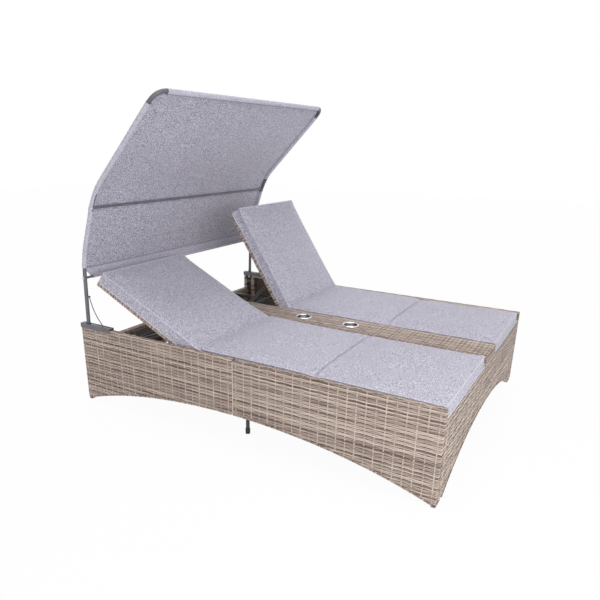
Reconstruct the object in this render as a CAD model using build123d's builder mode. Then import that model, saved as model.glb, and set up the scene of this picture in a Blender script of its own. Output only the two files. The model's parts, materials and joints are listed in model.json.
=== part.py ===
"""Double chaise lounger with two reclining backs, a drinks console and a tilting canopy.

The floor is Z = 0. The head end is at +Y and the foot end at -Y. Left is -X and right is
+X, seen from the foot end. Lengths are in millimetres and angles in degrees.
"""
import os
from math import asin, cos, degrees, radians, sin, tan

from build123d import *

os.makedirs("parts", exist_ok=True)

# Base
base_length = 2000
base_width = 1600
side_height = 438
deck_top = 383
head_wall_height = 327
console_width = 210
console_depth = 138
glide_height = 5
weave = 3.7
frame_tube = 20
frame_fit = 0.3
seam_gap = 0.4
console_seam = 2
side_arch_foot = 15
side_arch_rise = 154
side_arch_share = 0.437
end_arch_foot = 85
end_arch_rise = 160
end_arch_share = 0.46
arch_crest_share = 0.75
overrun = 10

# Slings of the fixed decks and of the backs
sling_tube = 18
sling_weave = 2.7
deck_gap = 3
deck_head_place = 236
deck_fold_place = -410
deck_beam_spacing = 440
back_length = 697
back_start = 16
back_corner = 15
hinge_place = 252
left_recline = 26
right_recline = 57
top_recline = 57

# Beams, legs and glides under the decks
beam = 25
beam_wall = 1.5
hinge_beam_height = 56
leg_place = 667
leg_tube = 19
leg_wall = 1.5
leg_cap = 24
leg_cap_height = 28
leg_cap_floor = 4
leg_cap_fit = 0.1
glide_length = 68
glide_width = 20
glide_inset = 3.5

# Hinges of the backs
hinge_plate = 4
hinge_plate_radius = 10
hinge_plate_drop = 36
hinge_side_gap = 1
hinge_pin = 8
hinge_head = 12
hinge_head_height = 1.5
pin_fit = 0.02
running_fit = 0.05

# Stays under the backs, with the racks for their foot bars
stay_reach = 242
stay_drop = 22
stay_length = 306
stay_width = 477
stay_tube = 16
stay_wall = 1.5
stay_corner = 40
stay_pin = 6
stay_pin_head = 10
stay_pin_head_height = 2
stay_ear = 4
stay_ear_gap = 0.5
rack_rail = 20
rack_rail_gap = 330
rack_plate = 4
rack_clearance = 0.3
rack_notches = 4
rack_notch_radius = 8.5
rack_notch_depth = 4.5
rack_end = 22
rack_last_drop = 6
rack_low_recline = 26

# Cushions
cushion_edge = 60
cushion_crown = 7
cushion_end_crown = 0.6
cushion_bulge = 3
cushion_draw = 4
cushion_width = 654
cushion_rest = 0.3
cushion_foot_gap = 2
cushion_head_inset = 9
pad_station_shares = (0, 0.25, 0.5, 0.75, 1)
fold_dip = 5
fold_gap = 2
nose_turn = 22
nose_foot = 6
seat_lean = 5

# Cup holders
cup_head_place = 55
cup_foot_place = -241
cup_radius = 38
cup_wall = 1.2
cup_depth = 72
cup_flange = 46
cup_flange_rise = 3
cup_floor_radius = 6
cup_fit = 0.5

# Canopy tubes
canopy_tube = 20
canopy_wall = 1.5
pivot_place = 955
pivot_height = 416
low_bend_place = 942
low_bend_height = 805
low_bend_radius = 600
high_bend_place = 820
high_bend_height = 1143
high_bend_radius = 400
hoop_place = 378
hoop_height = 1592
hoop_corner = 60
tube_start = 40
joint_gap = 5
spigot_length = 40
spigot_fit = 0.15
cross_bar = 13
cross_bar_wall = 1.2
cross_bar_plug = 34
mid_bar_rise = 12.5
bottom_bar_height = 701
canopy_bolt = 6
canopy_bolt_head = 13
canopy_bolt_dome = 5
canopy_dome_share = 0.7
canopy_bolt_grip = 24
bolt_fit = 0.2

# Canopy pivots in the side panels
tongue_thickness = 13.4
tongue_width = 20
tongue_plug = 16
tongue_plug_bite = 0.5
pivot_pin = 8
pocket_length = 37
pocket_floor = 396
plate_length = 217
plate_rise = 12
plate_sheet = 3
plate_flange = 2
plate_skirt = 24
plate_rib = 4
plate_rib_inset = 12
plate_ear = 3
plate_ear_width = 24
plate_ear_foot = 404
tongue_slot = 36
tongue_slot_width = 14

# Stay rods of the canopy
rod = 5
rod_line = 781.5
rod_eye_place = 932
rod_eye_height = 600
rod_bow_place = 903
rod_bow_height = 519
rod_tip_place = 841
rod_tip_height = 443
rod_eye = 10
rod_eye_width = 4
rod_pin = 4
rod_pin_head = 8
rod_pin_head_height = 1.5
rod_lug = 4
rod_side_gap = 0.5
rod_slot = 5.8
rod_slot_start = 806
rod_slot_end = 888
rod_slot_round = 9

# Canopy fabric
fabric = 2
fabric_offset = 7
sleeve_gap = 0.3
hem_height = 755
hem_width = 1470
hem_corner = 50
sleeve_low_end = 1050
sleeve_high_start = 1138
sleeve_corner_gap = 68

# Bolts that join the panels
bolt = 6
bolt_head = 11
bolt_head_height = 4
seam_bolt_share = (0.55, 0.86)
corner_bolt_share = (0.62, 0.84)
corner_bolt_bite = 14

# Places worked out from the sizes above
half_length = base_length / 2
half_width = base_width / 2
half_console = console_width / 2
panel_thickness = frame_tube + 2 * (frame_fit + weave)
panel_inside = half_width - panel_thickness
end_inside = half_length - panel_thickness
bay_centre = (half_console + panel_inside) / 2
bay_width = panel_inside - half_console
console_low = side_height - console_depth
sling_thickness = sling_tube + 2 * (frame_fit + sling_weave)
sling_width = bay_width - 2 * deck_gap
hinge_height = deck_top - sling_thickness / 2
deck_start = deck_gap - end_inside
deck_under = deck_top - sling_thickness
beam_places = (-2 * deck_beam_spacing, -deck_beam_spacing)
hinge_beam_place = deck_head_place - beam / 2
tube_line = sling_width / 2 - sling_weave - frame_fit - sling_tube / 2
post_line = half_width - panel_thickness / 2
stay_line = stay_width / 2
pocket_place = end_inside - pocket_length / 2
pocket_upright = pocket_place - pocket_length / 2 - weave - frame_fit - frame_tube / 2
middle_upright = (hinge_beam_place + pocket_upright) / 2
cup_places = (cup_head_place, cup_foot_place)
foot_level = hinge_height - stay_drop
cushion_base = sling_thickness / 2 + cushion_rest
nose_radius = cushion_base + cushion_edge

side_arch = (half_length - side_arch_foot, side_arch_share, side_arch_rise)
end_arch = (half_width - end_arch_foot, end_arch_share, end_arch_rise)
post_pocket = (pocket_place, pocket_length, pocket_floor)
sides = (("left", -1, left_recline), ("right", 1, right_recline))
ends = (("head", 1), ("foot", -1))


def keep(builder, name):
    """Label a finished piece and write it to its own file."""
    builder.part.label = name
    export_step(builder.part, f"parts/{name}.step")


def arch_area(half_span, reach_share, rise, lift):
    """Area between the floor and the curve of a panel's arch, raised by lift."""
    foot = glide_height + lift
    crest = foot + (rise - glide_height) / arch_crest_share
    reach = half_span * reach_share
    with BuildSketch() as area:
        with BuildLine():
            Bezier((-half_span, foot), (-reach, crest), (reach, crest), (half_span, foot))
            Polyline((half_span, foot), (half_span, 0), (-half_span, 0), (-half_span, foot))
        make_face()
    return area.sketch


def panel_area(low, high, height, arch):
    """Outline of a panel from low to high along its length, with its arch cut away."""
    with BuildSketch() as area:
        with Locations(((low + high) / 2, (glide_height + height) / 2)):
            Rectangle(high - low, height - glide_height)
        add(arch_area(*arch, 0), mode=Mode.SUBTRACT)
    return area.sketch


def bar_area(low, high, height, arch, uprights, pocket, grow):
    """Front view of a panel's welded tubes, grown by grow on every side."""
    edge = weave + frame_fit - grow
    bar = frame_tube + 2 * grow
    middle = (low + high) / 2
    bar_length = high - low - 2 * edge
    end_uprights = [low + edge + bar / 2, high - edge - bar / 2]
    with BuildSketch() as area:
        add(arch_area(*arch, edge + bar))
        with Locations((middle, height - edge - bar / 2)):
            Rectangle(bar_length, bar)
        with Locations([(place, height / 2) for place in uprights + end_uprights]):
            Rectangle(bar, height)
        if pocket:
            place, opening, floor = pocket
            with Locations((place, (floor - edge + height) / 2)):
                Rectangle(opening + 2 * edge, height - floor + edge, mode=Mode.SUBTRACT)
            with Locations((place, floor - edge - bar / 2)):
                Rectangle(opening + 2 * edge + bar, bar)
        with Locations((middle, (glide_height + height) / 2)):
            Rectangle(bar_length, height - glide_height - 2 * edge, mode=Mode.INTERSECT)
        add(arch_area(*arch, edge), mode=Mode.SUBTRACT)
    return area.sketch


def bay_area(low, high, height, arch, uprights, pocket):
    """Bays between a panel's wrapped tubes, where only the outer skin is woven."""
    with BuildSketch() as area:
        add(panel_area(low, high, height, arch))
        wrapped = bar_area(low, high, height, arch, uprights, pocket, weave + frame_fit)
        add(wrapped, mode=Mode.SUBTRACT)
        if pocket:
            place, opening, floor = pocket
            with Locations((place, (floor + height) / 2)):
                Rectangle(opening, height - floor, mode=Mode.SUBTRACT)
    return area.sketch


def panel_pieces(plane, way, low, high, height, arch, uprights, pocket=None):
    """Woven cover and welded frame of a panel that runs from its inner face by way."""
    with BuildPart() as cover:
        with BuildSketch(plane):
            add(panel_area(low, high, height, arch))
        extrude(amount=way * panel_thickness)
        with BuildSketch(plane):
            add(bay_area(low, high, height, arch, uprights, pocket))
        extrude(amount=way * (panel_thickness - weave), mode=Mode.SUBTRACT)
        with BuildSketch(plane.offset(way * weave)):
            add(bar_area(low, high, height, arch, uprights, pocket, frame_fit))
        extrude(amount=way * (frame_tube + 2 * frame_fit), mode=Mode.SUBTRACT)
    with BuildPart() as frame:
        with BuildSketch(plane.offset(way * (weave + frame_fit))):
            add(bar_area(low, high, height, arch, uprights, pocket, 0))
        extrude(amount=way * frame_tube)
    return cover.part, frame.part


# Side panels, each in a head half and a foot half that are bolted together
seam_bolt_places = [
    (side * post_line, 0, share * side_height) for side in (-1, 1) for share in seam_bolt_share
]
corner_bolt_places = [
    (side * panel_inside, end * (half_length - panel_thickness / 2), share * height)
    for side in (-1, 1)
    for end, height in ((1, head_wall_height), (-1, deck_top))
    for share in corner_bolt_share
]
corner_bolt_reach = panel_thickness + frame_fit
for side_name, side, recline in sides:
    inner_plane = Plane.YZ.offset(side * panel_inside)
    for end_name, end in ends:
        if end == 1:
            low, high = seam_gap / 2, half_length
            uprights = [hinge_beam_place, middle_upright, pocket_upright]
            pocket = post_pocket
        else:
            low, high = -half_length, -seam_gap / 2
            uprights = list(beam_places)
            pocket = None
        cover, frame = panel_pieces(
            inner_plane, side, low, high, side_height, side_arch, uprights, pocket
        )

        with BuildPart() as side_weave:
            add(cover)
            if pocket:
                hole_middle = (pocket_floor + side_height + overrun) / 2
                with Locations((side * post_line, pocket_place, hole_middle)):
                    Box(
                        frame_tube + 2 * frame_fit,
                        pocket_length,
                        side_height + overrun - pocket_floor,
                        mode=Mode.SUBTRACT,
                    )
            with Locations(seam_bolt_places):
                Cylinder(
                    bolt / 2 + frame_fit,
                    2 * (panel_thickness + overrun),
                    rotation=(90, 0, 0),
                    mode=Mode.SUBTRACT,
                )
            with Locations(corner_bolt_places):
                Cylinder(
                    bolt / 2 + frame_fit,
                    2 * corner_bolt_reach,
                    rotation=(0, 90, 0),
                    mode=Mode.SUBTRACT,
                )
        keep(side_weave, f"side_weave_{side_name}_{end_name}")

        with BuildPart() as side_frame:
            add(frame)
            with Locations(seam_bolt_places):
                Cylinder(
                    bolt / 2 + frame_fit,
                    2 * (panel_thickness + overrun),
                    rotation=(90, 0, 0),
                    mode=Mode.SUBTRACT,
                )
            with Locations(corner_bolt_places):
                Cylinder(
                    bolt / 2 + frame_fit,
                    2 * (weave + corner_bolt_bite + 2 * frame_fit),
                    rotation=(0, 90, 0),
                    mode=Mode.SUBTRACT,
                )
        keep(side_frame, f"side_frame_{side_name}_{end_name}")

# End walls: one wall for each bay, low at the head and up to the deck at the foot
for end_name, end in ends:
    height = head_wall_height if end == 1 else deck_top
    inner_plane = Plane.XZ.offset(-end * end_inside)
    for side_name, side, recline in sides:
        near = side * (half_console + console_seam)
        far = side * (panel_inside - frame_fit)
        cover, frame = panel_pieces(
            inner_plane, -end, min(near, far), max(near, far), height, end_arch,
            [side * bay_centre],
        )

        with BuildPart() as wall_weave:
            add(cover)
            with Locations(corner_bolt_places):
                Cylinder(
                    bolt / 2 + frame_fit,
                    2 * (corner_bolt_reach + overrun),
                    rotation=(0, 90, 0),
                    mode=Mode.SUBTRACT,
                )
        keep(wall_weave, f"{end_name}_wall_weave_{side_name}")

        with BuildPart() as wall_frame:
            add(frame)
            with Locations(corner_bolt_places):
                Cylinder(
                    bolt / 2 + frame_fit,
                    2 * (corner_bolt_reach + overrun),
                    rotation=(0, 90, 0),
                    mode=Mode.SUBTRACT,
                )
        keep(wall_frame, f"{end_name}_wall_frame_{side_name}")

# Bolts through the seam of each side panel
seam_grip = panel_thickness + frame_fit
with BuildPart() as seam_bolts:
    with Locations(seam_bolt_places):
        Cylinder(bolt / 2, 2 * seam_grip, rotation=(90, 0, 0))
    with Locations(
        [
            (x, end * (seam_grip + bolt_head_height / 2), z)
            for x, y, z in seam_bolt_places
            for end in (-1, 1)
        ]
    ):
        Cylinder(bolt_head / 2, bolt_head_height, rotation=(90, 0, 0))
keep(seam_bolts, "seam_bolts")

# Bolts from each end wall into the side panels
wall_grip = corner_bolt_reach + frame_fit
with BuildPart() as corner_bolts:
    for x, y, z in corner_bolt_places:
        side = x / panel_inside
        tip = panel_inside + weave + corner_bolt_bite
        shank = tip - panel_inside + wall_grip
        with Locations((side * (tip - shank / 2), y, z)):
            Cylinder(bolt / 2, shank, rotation=(0, 90, 0))
        with Locations((side * (tip - shank - bolt_head_height / 2), y, z)):
            Cylinder(bolt_head / 2, bolt_head_height, rotation=(0, 90, 0))
keep(corner_bolts, "corner_bolts")

# Console between the bays: woven channel with closed ends that reach down to the arches
cavity = 2 * (half_console - weave)
cavity_top = side_height - weave
end_middle = half_length - panel_thickness / 2
with BuildPart() as console_weave:
    with Locations((0, 0, (console_low + side_height) / 2)):
        Box(console_width, base_length, console_depth)
    with Locations([(0, end * end_middle, console_low / 2) for end in (-1, 1)]):
        Box(console_width, panel_thickness, console_low)
    with BuildSketch(Plane.XZ):
        add(arch_area(*end_arch, 0))
    extrude(amount=base_length, both=True, mode=Mode.SUBTRACT)
    with Locations((0, 0, (console_low + cavity_top) / 2)):
        Box(cavity, base_length - 2 * weave, cavity_top - console_low, mode=Mode.SUBTRACT)
    with BuildPart(mode=Mode.PRIVATE) as end_cavities:
        with Locations([(0, end * end_middle, console_low / 2) for end in (-1, 1)]):
            Box(cavity, panel_thickness - 2 * weave, console_low)
        with BuildSketch(Plane.XZ):
            add(arch_area(*end_arch, weave))
        extrude(amount=base_length, both=True, mode=Mode.SUBTRACT)
    add(end_cavities.part, mode=Mode.SUBTRACT)
    with Locations([(0, place, cavity_top) for place in cup_places]):
        Cylinder(cup_radius + cup_wall + cup_fit, 2 * (weave + overrun), mode=Mode.SUBTRACT)
keep(console_weave, "console_weave")

rail_line = half_console - weave - frame_fit - frame_tube / 2
rail_top = cavity_top - frame_fit
leg_foot = end_arch_rise + weave + frame_fit
rail_length = base_length - 2 * (weave + frame_fit)
console_uprights = [*beam_places, 0, hinge_beam_place, middle_upright]
with BuildPart() as console_frame:
    with Locations(
        [
            (side * rail_line, 0, z)
            for side in (-1, 1)
            for z in (console_low + frame_tube / 2, rail_top - frame_tube / 2)
        ]
    ):
        Box(frame_tube, rail_length, frame_tube)
    with Locations(
        [
            (side * rail_line, place, (console_low + rail_top) / 2)
            for side in (-1, 1)
            for place in console_uprights
        ]
    ):
        Box(frame_tube, frame_tube, rail_top - console_low)
    with Locations([(0, place, console_low + frame_tube / 2) for place in console_uprights]):
        Box(2 * rail_line, frame_tube, frame_tube)
    end_place = half_length - weave - frame_fit - frame_tube / 2
    for end in (-1, 1):
        with Locations(
            [(side * rail_line, end * end_place, (leg_foot + rail_top) / 2) for side in (-1, 1)]
        ):
            Box(frame_tube, frame_tube, rail_top - leg_foot)
        with Locations(
            [
                (0, end * end_place, z)
                for z in (leg_foot + frame_tube / 2, rail_top - frame_tube / 2)
            ]
        ):
            Box(2 * rail_line, frame_tube, frame_tube)
keep(console_frame, "console_frame")

# Pressed steel cup holders that hang by their flanges in the console's top
for cup_name, place in zip(("head", "foot"), cup_places):
    outer = cup_radius + cup_wall
    floor = side_height - cup_depth
    flange_middle = (cup_radius + cup_flange) / 2
    with BuildPart() as cup_holder:
        with BuildSketch(Plane.XZ.offset(-place)):
            with BuildLine():
                Polyline(
                    (0, floor + cup_wall),
                    (0, floor),
                    (outer - cup_floor_radius, floor),
                )
                TangentArc(
                    (outer - cup_floor_radius, floor),
                    (outer, floor + cup_floor_radius),
                    tangent=(1, 0),
                )
                Polyline(
                    (outer, floor + cup_floor_radius),
                    (outer, side_height),
                    (cup_flange, side_height),
                )
                ThreePointArc(
                    (cup_flange, side_height),
                    (flange_middle, side_height + cup_flange_rise),
                    (cup_radius, side_height),
                )
                Line((cup_radius, side_height), (cup_radius, floor + cup_floor_radius))
                TangentArc(
                    (cup_radius, floor + cup_floor_radius),
                    (outer - cup_floor_radius, floor + cup_wall),
                    tangent=(0, -1),
                )
                Line((outer - cup_floor_radius, floor + cup_wall), (0, floor + cup_wall))
            make_face()
        revolve(axis=Axis((0, place, 0), (0, 0, 1)))
    keep(cup_holder, f"cup_holder_{cup_name}")


def sling_outline(low, high, corner, inset):
    """Outline of a sling, drawn in by inset, with round corners at its head end."""
    with BuildSketch() as area:
        with Locations((0, (low + high) / 2)):
            Rectangle(sling_width - 2 * inset, high - low - 2 * inset)
        if corner:
            fillet(area.vertices().group_by(Axis.Y)[-1], corner - inset)
    return area.sketch


def sling_bars(low, high, corner, crossings, grow):
    """Plan of a sling's welded tubes, grown by grow on every side."""
    edge = sling_weave + frame_fit - grow
    bar = sling_tube + 2 * grow
    with BuildSketch() as area:
        add(sling_outline(low, high, corner, edge))
        with Locations((0, (low + high) / 2)):
            Rectangle(
                sling_width - 2 * (edge + bar),
                high - low - 2 * (edge + bar),
                mode=Mode.SUBTRACT,
            )
        with Locations([(0, place) for place in crossings]):
            Rectangle(sling_width - 2 * edge - bar, bar)
    return area.sketch


def sling_pieces(plane, low, high, corner, crossings):
    """Woven cover and welded frame of a sling whose tubes are centred on plane."""
    with BuildPart() as cover:
        with BuildSketch(plane.offset(-sling_thickness / 2)):
            add(sling_outline(low, high, corner, 0))
        extrude(amount=sling_thickness)
        with BuildSketch(plane.offset(-sling_thickness / 2)):
            add(sling_outline(low, high, corner, 0))
            wrapped = sling_bars(low, high, corner, crossings, sling_weave + frame_fit)
            add(wrapped, mode=Mode.SUBTRACT)
        extrude(amount=sling_thickness - sling_weave, mode=Mode.SUBTRACT)
        with BuildSketch(plane.offset(-sling_tube / 2 - frame_fit)):
            add(sling_bars(low, high, corner, crossings, frame_fit))
        extrude(amount=sling_tube + 2 * frame_fit, mode=Mode.SUBTRACT)
    with BuildPart() as frame:
        with BuildSketch(plane.offset(-sling_tube / 2)):
            add(sling_bars(low, high, corner, crossings, 0))
        extrude(amount=sling_tube)
    return cover.part, frame.part


# Fixed decks under the foot and seat of each bay
deck_crossings = [*beam_places, 0]
for side_name, side, recline in sides:
    deck_plane = Plane(origin=(side * bay_centre, 0, hinge_height))
    cover, frame = sling_pieces(deck_plane, deck_start, deck_head_place, 0, deck_crossings)
    with BuildPart() as deck_weave:
        add(cover)
    keep(deck_weave, f"seat_deck_weave_{side_name}")
    with BuildPart() as deck_frame:
        add(frame)
    keep(deck_frame, f"seat_deck_frame_{side_name}")

# Square tube beams across each bay under the deck
for beam_name, places in (("foot_beams", beam_places), ("middle_beams", (0,))):
    beam_centres = [
        (side * bay_centre, place, deck_under - beam / 2) for side in (-1, 1) for place in places
    ]
    with BuildPart() as cross_beams:
        with Locations(beam_centres):
            Box(bay_width, beam, beam)
            Box(bay_width, beam - 2 * beam_wall, beam - 2 * beam_wall, mode=Mode.SUBTRACT)
    keep(cross_beams, beam_name)

# Round legs with rubber caps under the middle beams
leg_spots = [(side * leg_place, 0) for side in (-1, 1)]
with BuildPart() as middle_legs:
    with BuildSketch(Plane.XY.offset(leg_cap_floor)):
        with Locations(leg_spots):
            Circle(leg_tube / 2)
            Circle(leg_tube / 2 - leg_wall, mode=Mode.SUBTRACT)
    extrude(amount=deck_under - beam - leg_cap_floor)
keep(middle_legs, "middle_legs")

with BuildPart() as leg_caps:
    with BuildSketch(Plane.XY):
        with Locations(leg_spots):
            Circle(leg_cap / 2)
    extrude(amount=leg_cap_height)
    fillet(leg_caps.faces().sort_by(Axis.Z)[-2:].edges(), leg_cap_floor / 4)
    with BuildSketch(Plane.XY.offset(leg_cap_floor)):
        with Locations(leg_spots):
            Circle(leg_tube / 2 + leg_cap_fit)
    extrude(amount=leg_cap_height, mode=Mode.SUBTRACT)
keep(leg_caps, "leg_caps")

# Plastic glides under the four corners
glide_place = half_length - glide_inset - glide_width / 2
glide_line = half_width - glide_inset - glide_length / 2
with BuildPart() as corner_glides:
    with BuildSketch(Plane.XY):
        with Locations(
            [(side * glide_line, end * glide_place) for side in (-1, 1) for end in (-1, 1)]
        ):
            Rectangle(glide_length, glide_width)
    extrude(amount=glide_height)
    fillet(corner_glides.edges().filter_by(Axis.Z), glide_inset)
keep(corner_glides, "corner_glides")


def back_plane(side, recline):
    """Plane of a back: origin on its hinge, local Y up along it, local Z out of its front."""
    turn = radians(recline)
    return Plane(
        origin=(side * bay_centre, hinge_place, hinge_height),
        x_dir=(1, 0, 0),
        z_dir=(0, -sin(turn), cos(turn)),
    )


def stay_dip(recline):
    """Angle of a stay below level, with its foot bar on the rack."""
    turn = radians(recline)
    rise = stay_reach * sin(turn) + stay_drop * (1 - cos(turn))
    return asin(rise / stay_length)


def stay_plane(side, recline):
    """Plane of a stay: origin on its pivot, local Y towards its foot bar."""
    turn = radians(recline)
    dip = stay_dip(recline)
    place = hinge_place + stay_reach * cos(turn) + stay_drop * sin(turn)
    height = hinge_height + stay_reach * sin(turn) - stay_drop * cos(turn)
    return Plane(
        origin=(side * bay_centre, place, height),
        x_dir=(1, 0, 0),
        z_dir=(0, sin(dip), cos(dip)),
    )


def stay_foot_place(recline):
    """Place of a stay's foot bar along Y."""
    turn = radians(recline)
    pivot = hinge_place + stay_reach * cos(turn) + stay_drop * sin(turn)
    return pivot + stay_length * cos(stay_dip(recline))


# Rack subframe of each bay: hinge beam with two rails back to the head wall
subframe_low = deck_under - hinge_beam_height
rail_reach = end_inside - deck_head_place
rack_rail_line = rack_rail_gap / 2
for side_name, side, recline in sides:
    with BuildPart() as rack_subframe:
        with Locations(
            (side * bay_centre, hinge_beam_place, deck_under - hinge_beam_height / 2)
        ):
            Box(bay_width, beam, hinge_beam_height)
            Box(
                bay_width,
                beam - 2 * beam_wall,
                hinge_beam_height - 2 * beam_wall,
                mode=Mode.SUBTRACT,
            )
        with Locations(
            [
                (
                    side * bay_centre + edge * rack_rail_line,
                    deck_head_place + rail_reach / 2,
                    subframe_low + rack_rail / 2,
                )
                for edge in (-1, 1)
            ]
        ):
            Box(rack_rail, rail_reach, rack_rail)
    keep(rack_subframe, f"rack_subframe_{side_name}")

# Notched rack plates on the rails, one notch for each position of the back
tooth_top = foot_level - stay_tube / 2 - rack_clearance
high_notch = stay_foot_place(top_recline)
low_notch = stay_foot_place(rack_low_recline)
notch_pitch = (low_notch - high_notch) / (rack_notches - 1)
notch_places = [high_notch + step * notch_pitch for step in range(rack_notches)]
last_tooth = low_notch + notch_pitch / 4
with BuildPart() as notched_racks:
    for side in (-1, 1):
        for edge in (-1, 1):
            face = side * bay_centre + edge * (rack_rail_line + rack_rail / 2)
            with BuildSketch(Plane.YZ.offset(face)):
                with BuildLine():
                    Polyline(
                        (high_notch - rack_end, subframe_low),
                        (low_notch + rack_end, subframe_low),
                        (low_notch + rack_end, tooth_top - rack_last_drop),
                        (last_tooth, tooth_top - rack_last_drop),
                        (last_tooth, tooth_top),
                        (high_notch - rack_end, tooth_top),
                        close=True,
                    )
                make_face()
                notch_height = tooth_top - rack_notch_depth + rack_notch_radius
                with Locations([(place, notch_height) for place in notch_places]):
                    Circle(rack_notch_radius, mode=Mode.SUBTRACT)
            extrude(amount=edge * rack_plate)
keep(notched_racks, "notched_racks")

# Hinge plates behind the hinge beams, with the pins of the backs
plate_line = tube_line - sling_tube / 2 - hinge_side_gap - hinge_plate
with BuildPart() as hinge_brackets:
    for side in (-1, 1):
        for edge in (-1, 1):
            face = side * bay_centre + edge * plate_line
            with BuildSketch(Plane.YZ.offset(face)):
                plate_reach = hinge_place - deck_head_place
                plate_tall = hinge_plate_radius + hinge_plate_drop
                plate_centre = hinge_height + hinge_plate_radius - plate_tall / 2
                with Locations((deck_head_place + plate_reach / 2, plate_centre)):
                    Rectangle(plate_reach, plate_tall)
                with Locations((hinge_place, hinge_height)):
                    Circle(hinge_plate_radius)
            extrude(amount=edge * hinge_plate)
            with BuildSketch(Plane.YZ.offset(face)):
                with Locations((hinge_place, hinge_height)):
                    Circle(hinge_pin / 2 + pin_fit)
            extrude(amount=edge * hinge_plate, mode=Mode.SUBTRACT)
keep(hinge_brackets, "hinge_brackets")

# Hinge pins, each through its plate and a back's side tube
pin_inner = plate_line - hinge_side_gap / 2
pin_outer = tube_line + sling_tube / 2 + hinge_side_gap / 2
with BuildPart() as hinge_pins:
    for side in (-1, 1):
        for edge in (-1, 1):
            spot = Plane(
                origin=(side * bay_centre + edge * pin_inner, hinge_place, hinge_height),
                z_dir=(edge, 0, 0),
            )
            with BuildSketch(spot):
                Circle(hinge_pin / 2)
            extrude(amount=pin_outer - pin_inner)
            with BuildSketch(spot):
                Circle(hinge_head / 2)
            extrude(amount=-hinge_head_height)
            with BuildSketch(spot.offset(pin_outer - pin_inner)):
                Circle(hinge_head / 2)
            extrude(amount=hinge_head_height)
keep(hinge_pins, "hinge_pins")

# Reclining backs with their stays and stay pins
low_rail = back_start + sling_weave + frame_fit + sling_tube / 2
head_rail = back_length - sling_weave - frame_fit - sling_tube / 2
back_crossings = [stay_reach, (stay_reach + head_rail) / 2]
eye_half = stay_tube / 2
ear_line = stay_line + eye_half + stay_ear_gap
pin_start = stay_line - eye_half - stay_ear_gap
pin_length = 2 * (eye_half + stay_ear_gap) + stay_ear + frame_fit
for side_name, side, recline in sides:
    plane = back_plane(side, recline)
    cover, frame = sling_pieces(plane, back_start, back_length, back_corner, back_crossings)

    with BuildPart() as back_weave:
        add(cover)
        for edge in (-1, 1):
            tube_hole = plane * Location((edge * tube_line, low_rail / 2, 0))
            with Locations(tube_hole):
                Box(
                    sling_tube + 2 * frame_fit,
                    low_rail,
                    sling_tube + 2 * frame_fit,
                    mode=Mode.SUBTRACT,
                )
            ear_middle = edge * (ear_line + stay_ear / 2)
            ear_hole = plane * Location((ear_middle, stay_reach, -sling_thickness / 2))
            with Locations(ear_hole):
                Box(
                    stay_ear + 2 * frame_fit,
                    stay_tube + 2 * frame_fit,
                    3 * sling_weave + frame_fit,
                    mode=Mode.SUBTRACT,
                )
    keep(back_weave, f"backrest_weave_{side_name}")

    with BuildPart() as back_frame:
        add(frame)
        for edge in (-1, 1):
            with Locations(plane * Location((edge * tube_line, low_rail / 2, 0))):
                Box(sling_tube, low_rail, sling_tube)
            tube_face = plane.location * Location((edge * (tube_line + sling_tube / 2), 0, 0))
            face_plane = Plane(origin=tube_face.position, z_dir=(-edge, 0, 0))
            with BuildSketch(face_plane):
                Circle(sling_tube / 2)
            extrude(amount=sling_tube)
            with BuildSketch(face_plane):
                Circle(hinge_pin / 2 + running_fit)
            extrude(amount=sling_tube, mode=Mode.SUBTRACT)
            ear_spot = plane.location * Location((edge * ear_line, stay_reach, -stay_drop))
            ear_plane = Plane(
                origin=ear_spot.position, x_dir=plane.y_dir * edge, z_dir=(edge, 0, 0)
            )
            ear_rise = stay_drop - sling_tube / 4
            with BuildSketch(ear_plane):
                Circle(stay_tube / 2)
                with Locations((0, ear_rise / 2)):
                    Rectangle(stay_tube, ear_rise)
                Circle(stay_pin / 2 + pin_fit, mode=Mode.SUBTRACT)
            extrude(amount=stay_ear)
    keep(back_frame, f"backrest_frame_{side_name}")

    leg_plane = stay_plane(side, recline)
    with BuildPart() as back_stay:
        with BuildLine(leg_plane) as stay_path:
            FilletPolyline(
                (-stay_line, eye_half / 2),
                (-stay_line, stay_length),
                (stay_line, stay_length),
                (stay_line, eye_half / 2),
                radius=stay_corner,
            )
        with BuildSketch(Plane(stay_path.line @ 0, z_dir=stay_path.line % 0)):
            Circle(stay_tube / 2)
            Circle(stay_tube / 2 - stay_wall, mode=Mode.SUBTRACT)
        sweep(path=stay_path.line)
        for edge in (-1, 1):
            spot = leg_plane.location * Location((edge * stay_line - eye_half, 0, 0))
            with BuildSketch(Plane(origin=spot.position, z_dir=(1, 0, 0))):
                Circle(stay_tube / 2)
            extrude(amount=stay_tube)
            with BuildSketch(Plane(origin=spot.position, z_dir=(1, 0, 0))):
                Circle(stay_pin / 2 + running_fit)
            extrude(amount=stay_tube, mode=Mode.SUBTRACT)
    keep(back_stay, f"stay_{side_name}")

    with BuildPart() as stay_pins:
        for edge in (-1, 1):
            spot = leg_plane.location * Location((edge * pin_start, 0, 0))
            pin_plane = Plane(origin=spot.position, z_dir=(edge, 0, 0))
            with BuildSketch(pin_plane):
                Circle(stay_pin / 2)
            extrude(amount=pin_length)
            with BuildSketch(pin_plane):
                Circle(stay_pin_head / 2)
            extrude(amount=-stay_pin_head_height)
            with BuildSketch(pin_plane.offset(pin_length)):
                Circle(stay_pin_head / 2)
            extrude(amount=stay_pin_head_height)
    keep(stay_pins, f"stay_pins_{side_name}")


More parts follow.
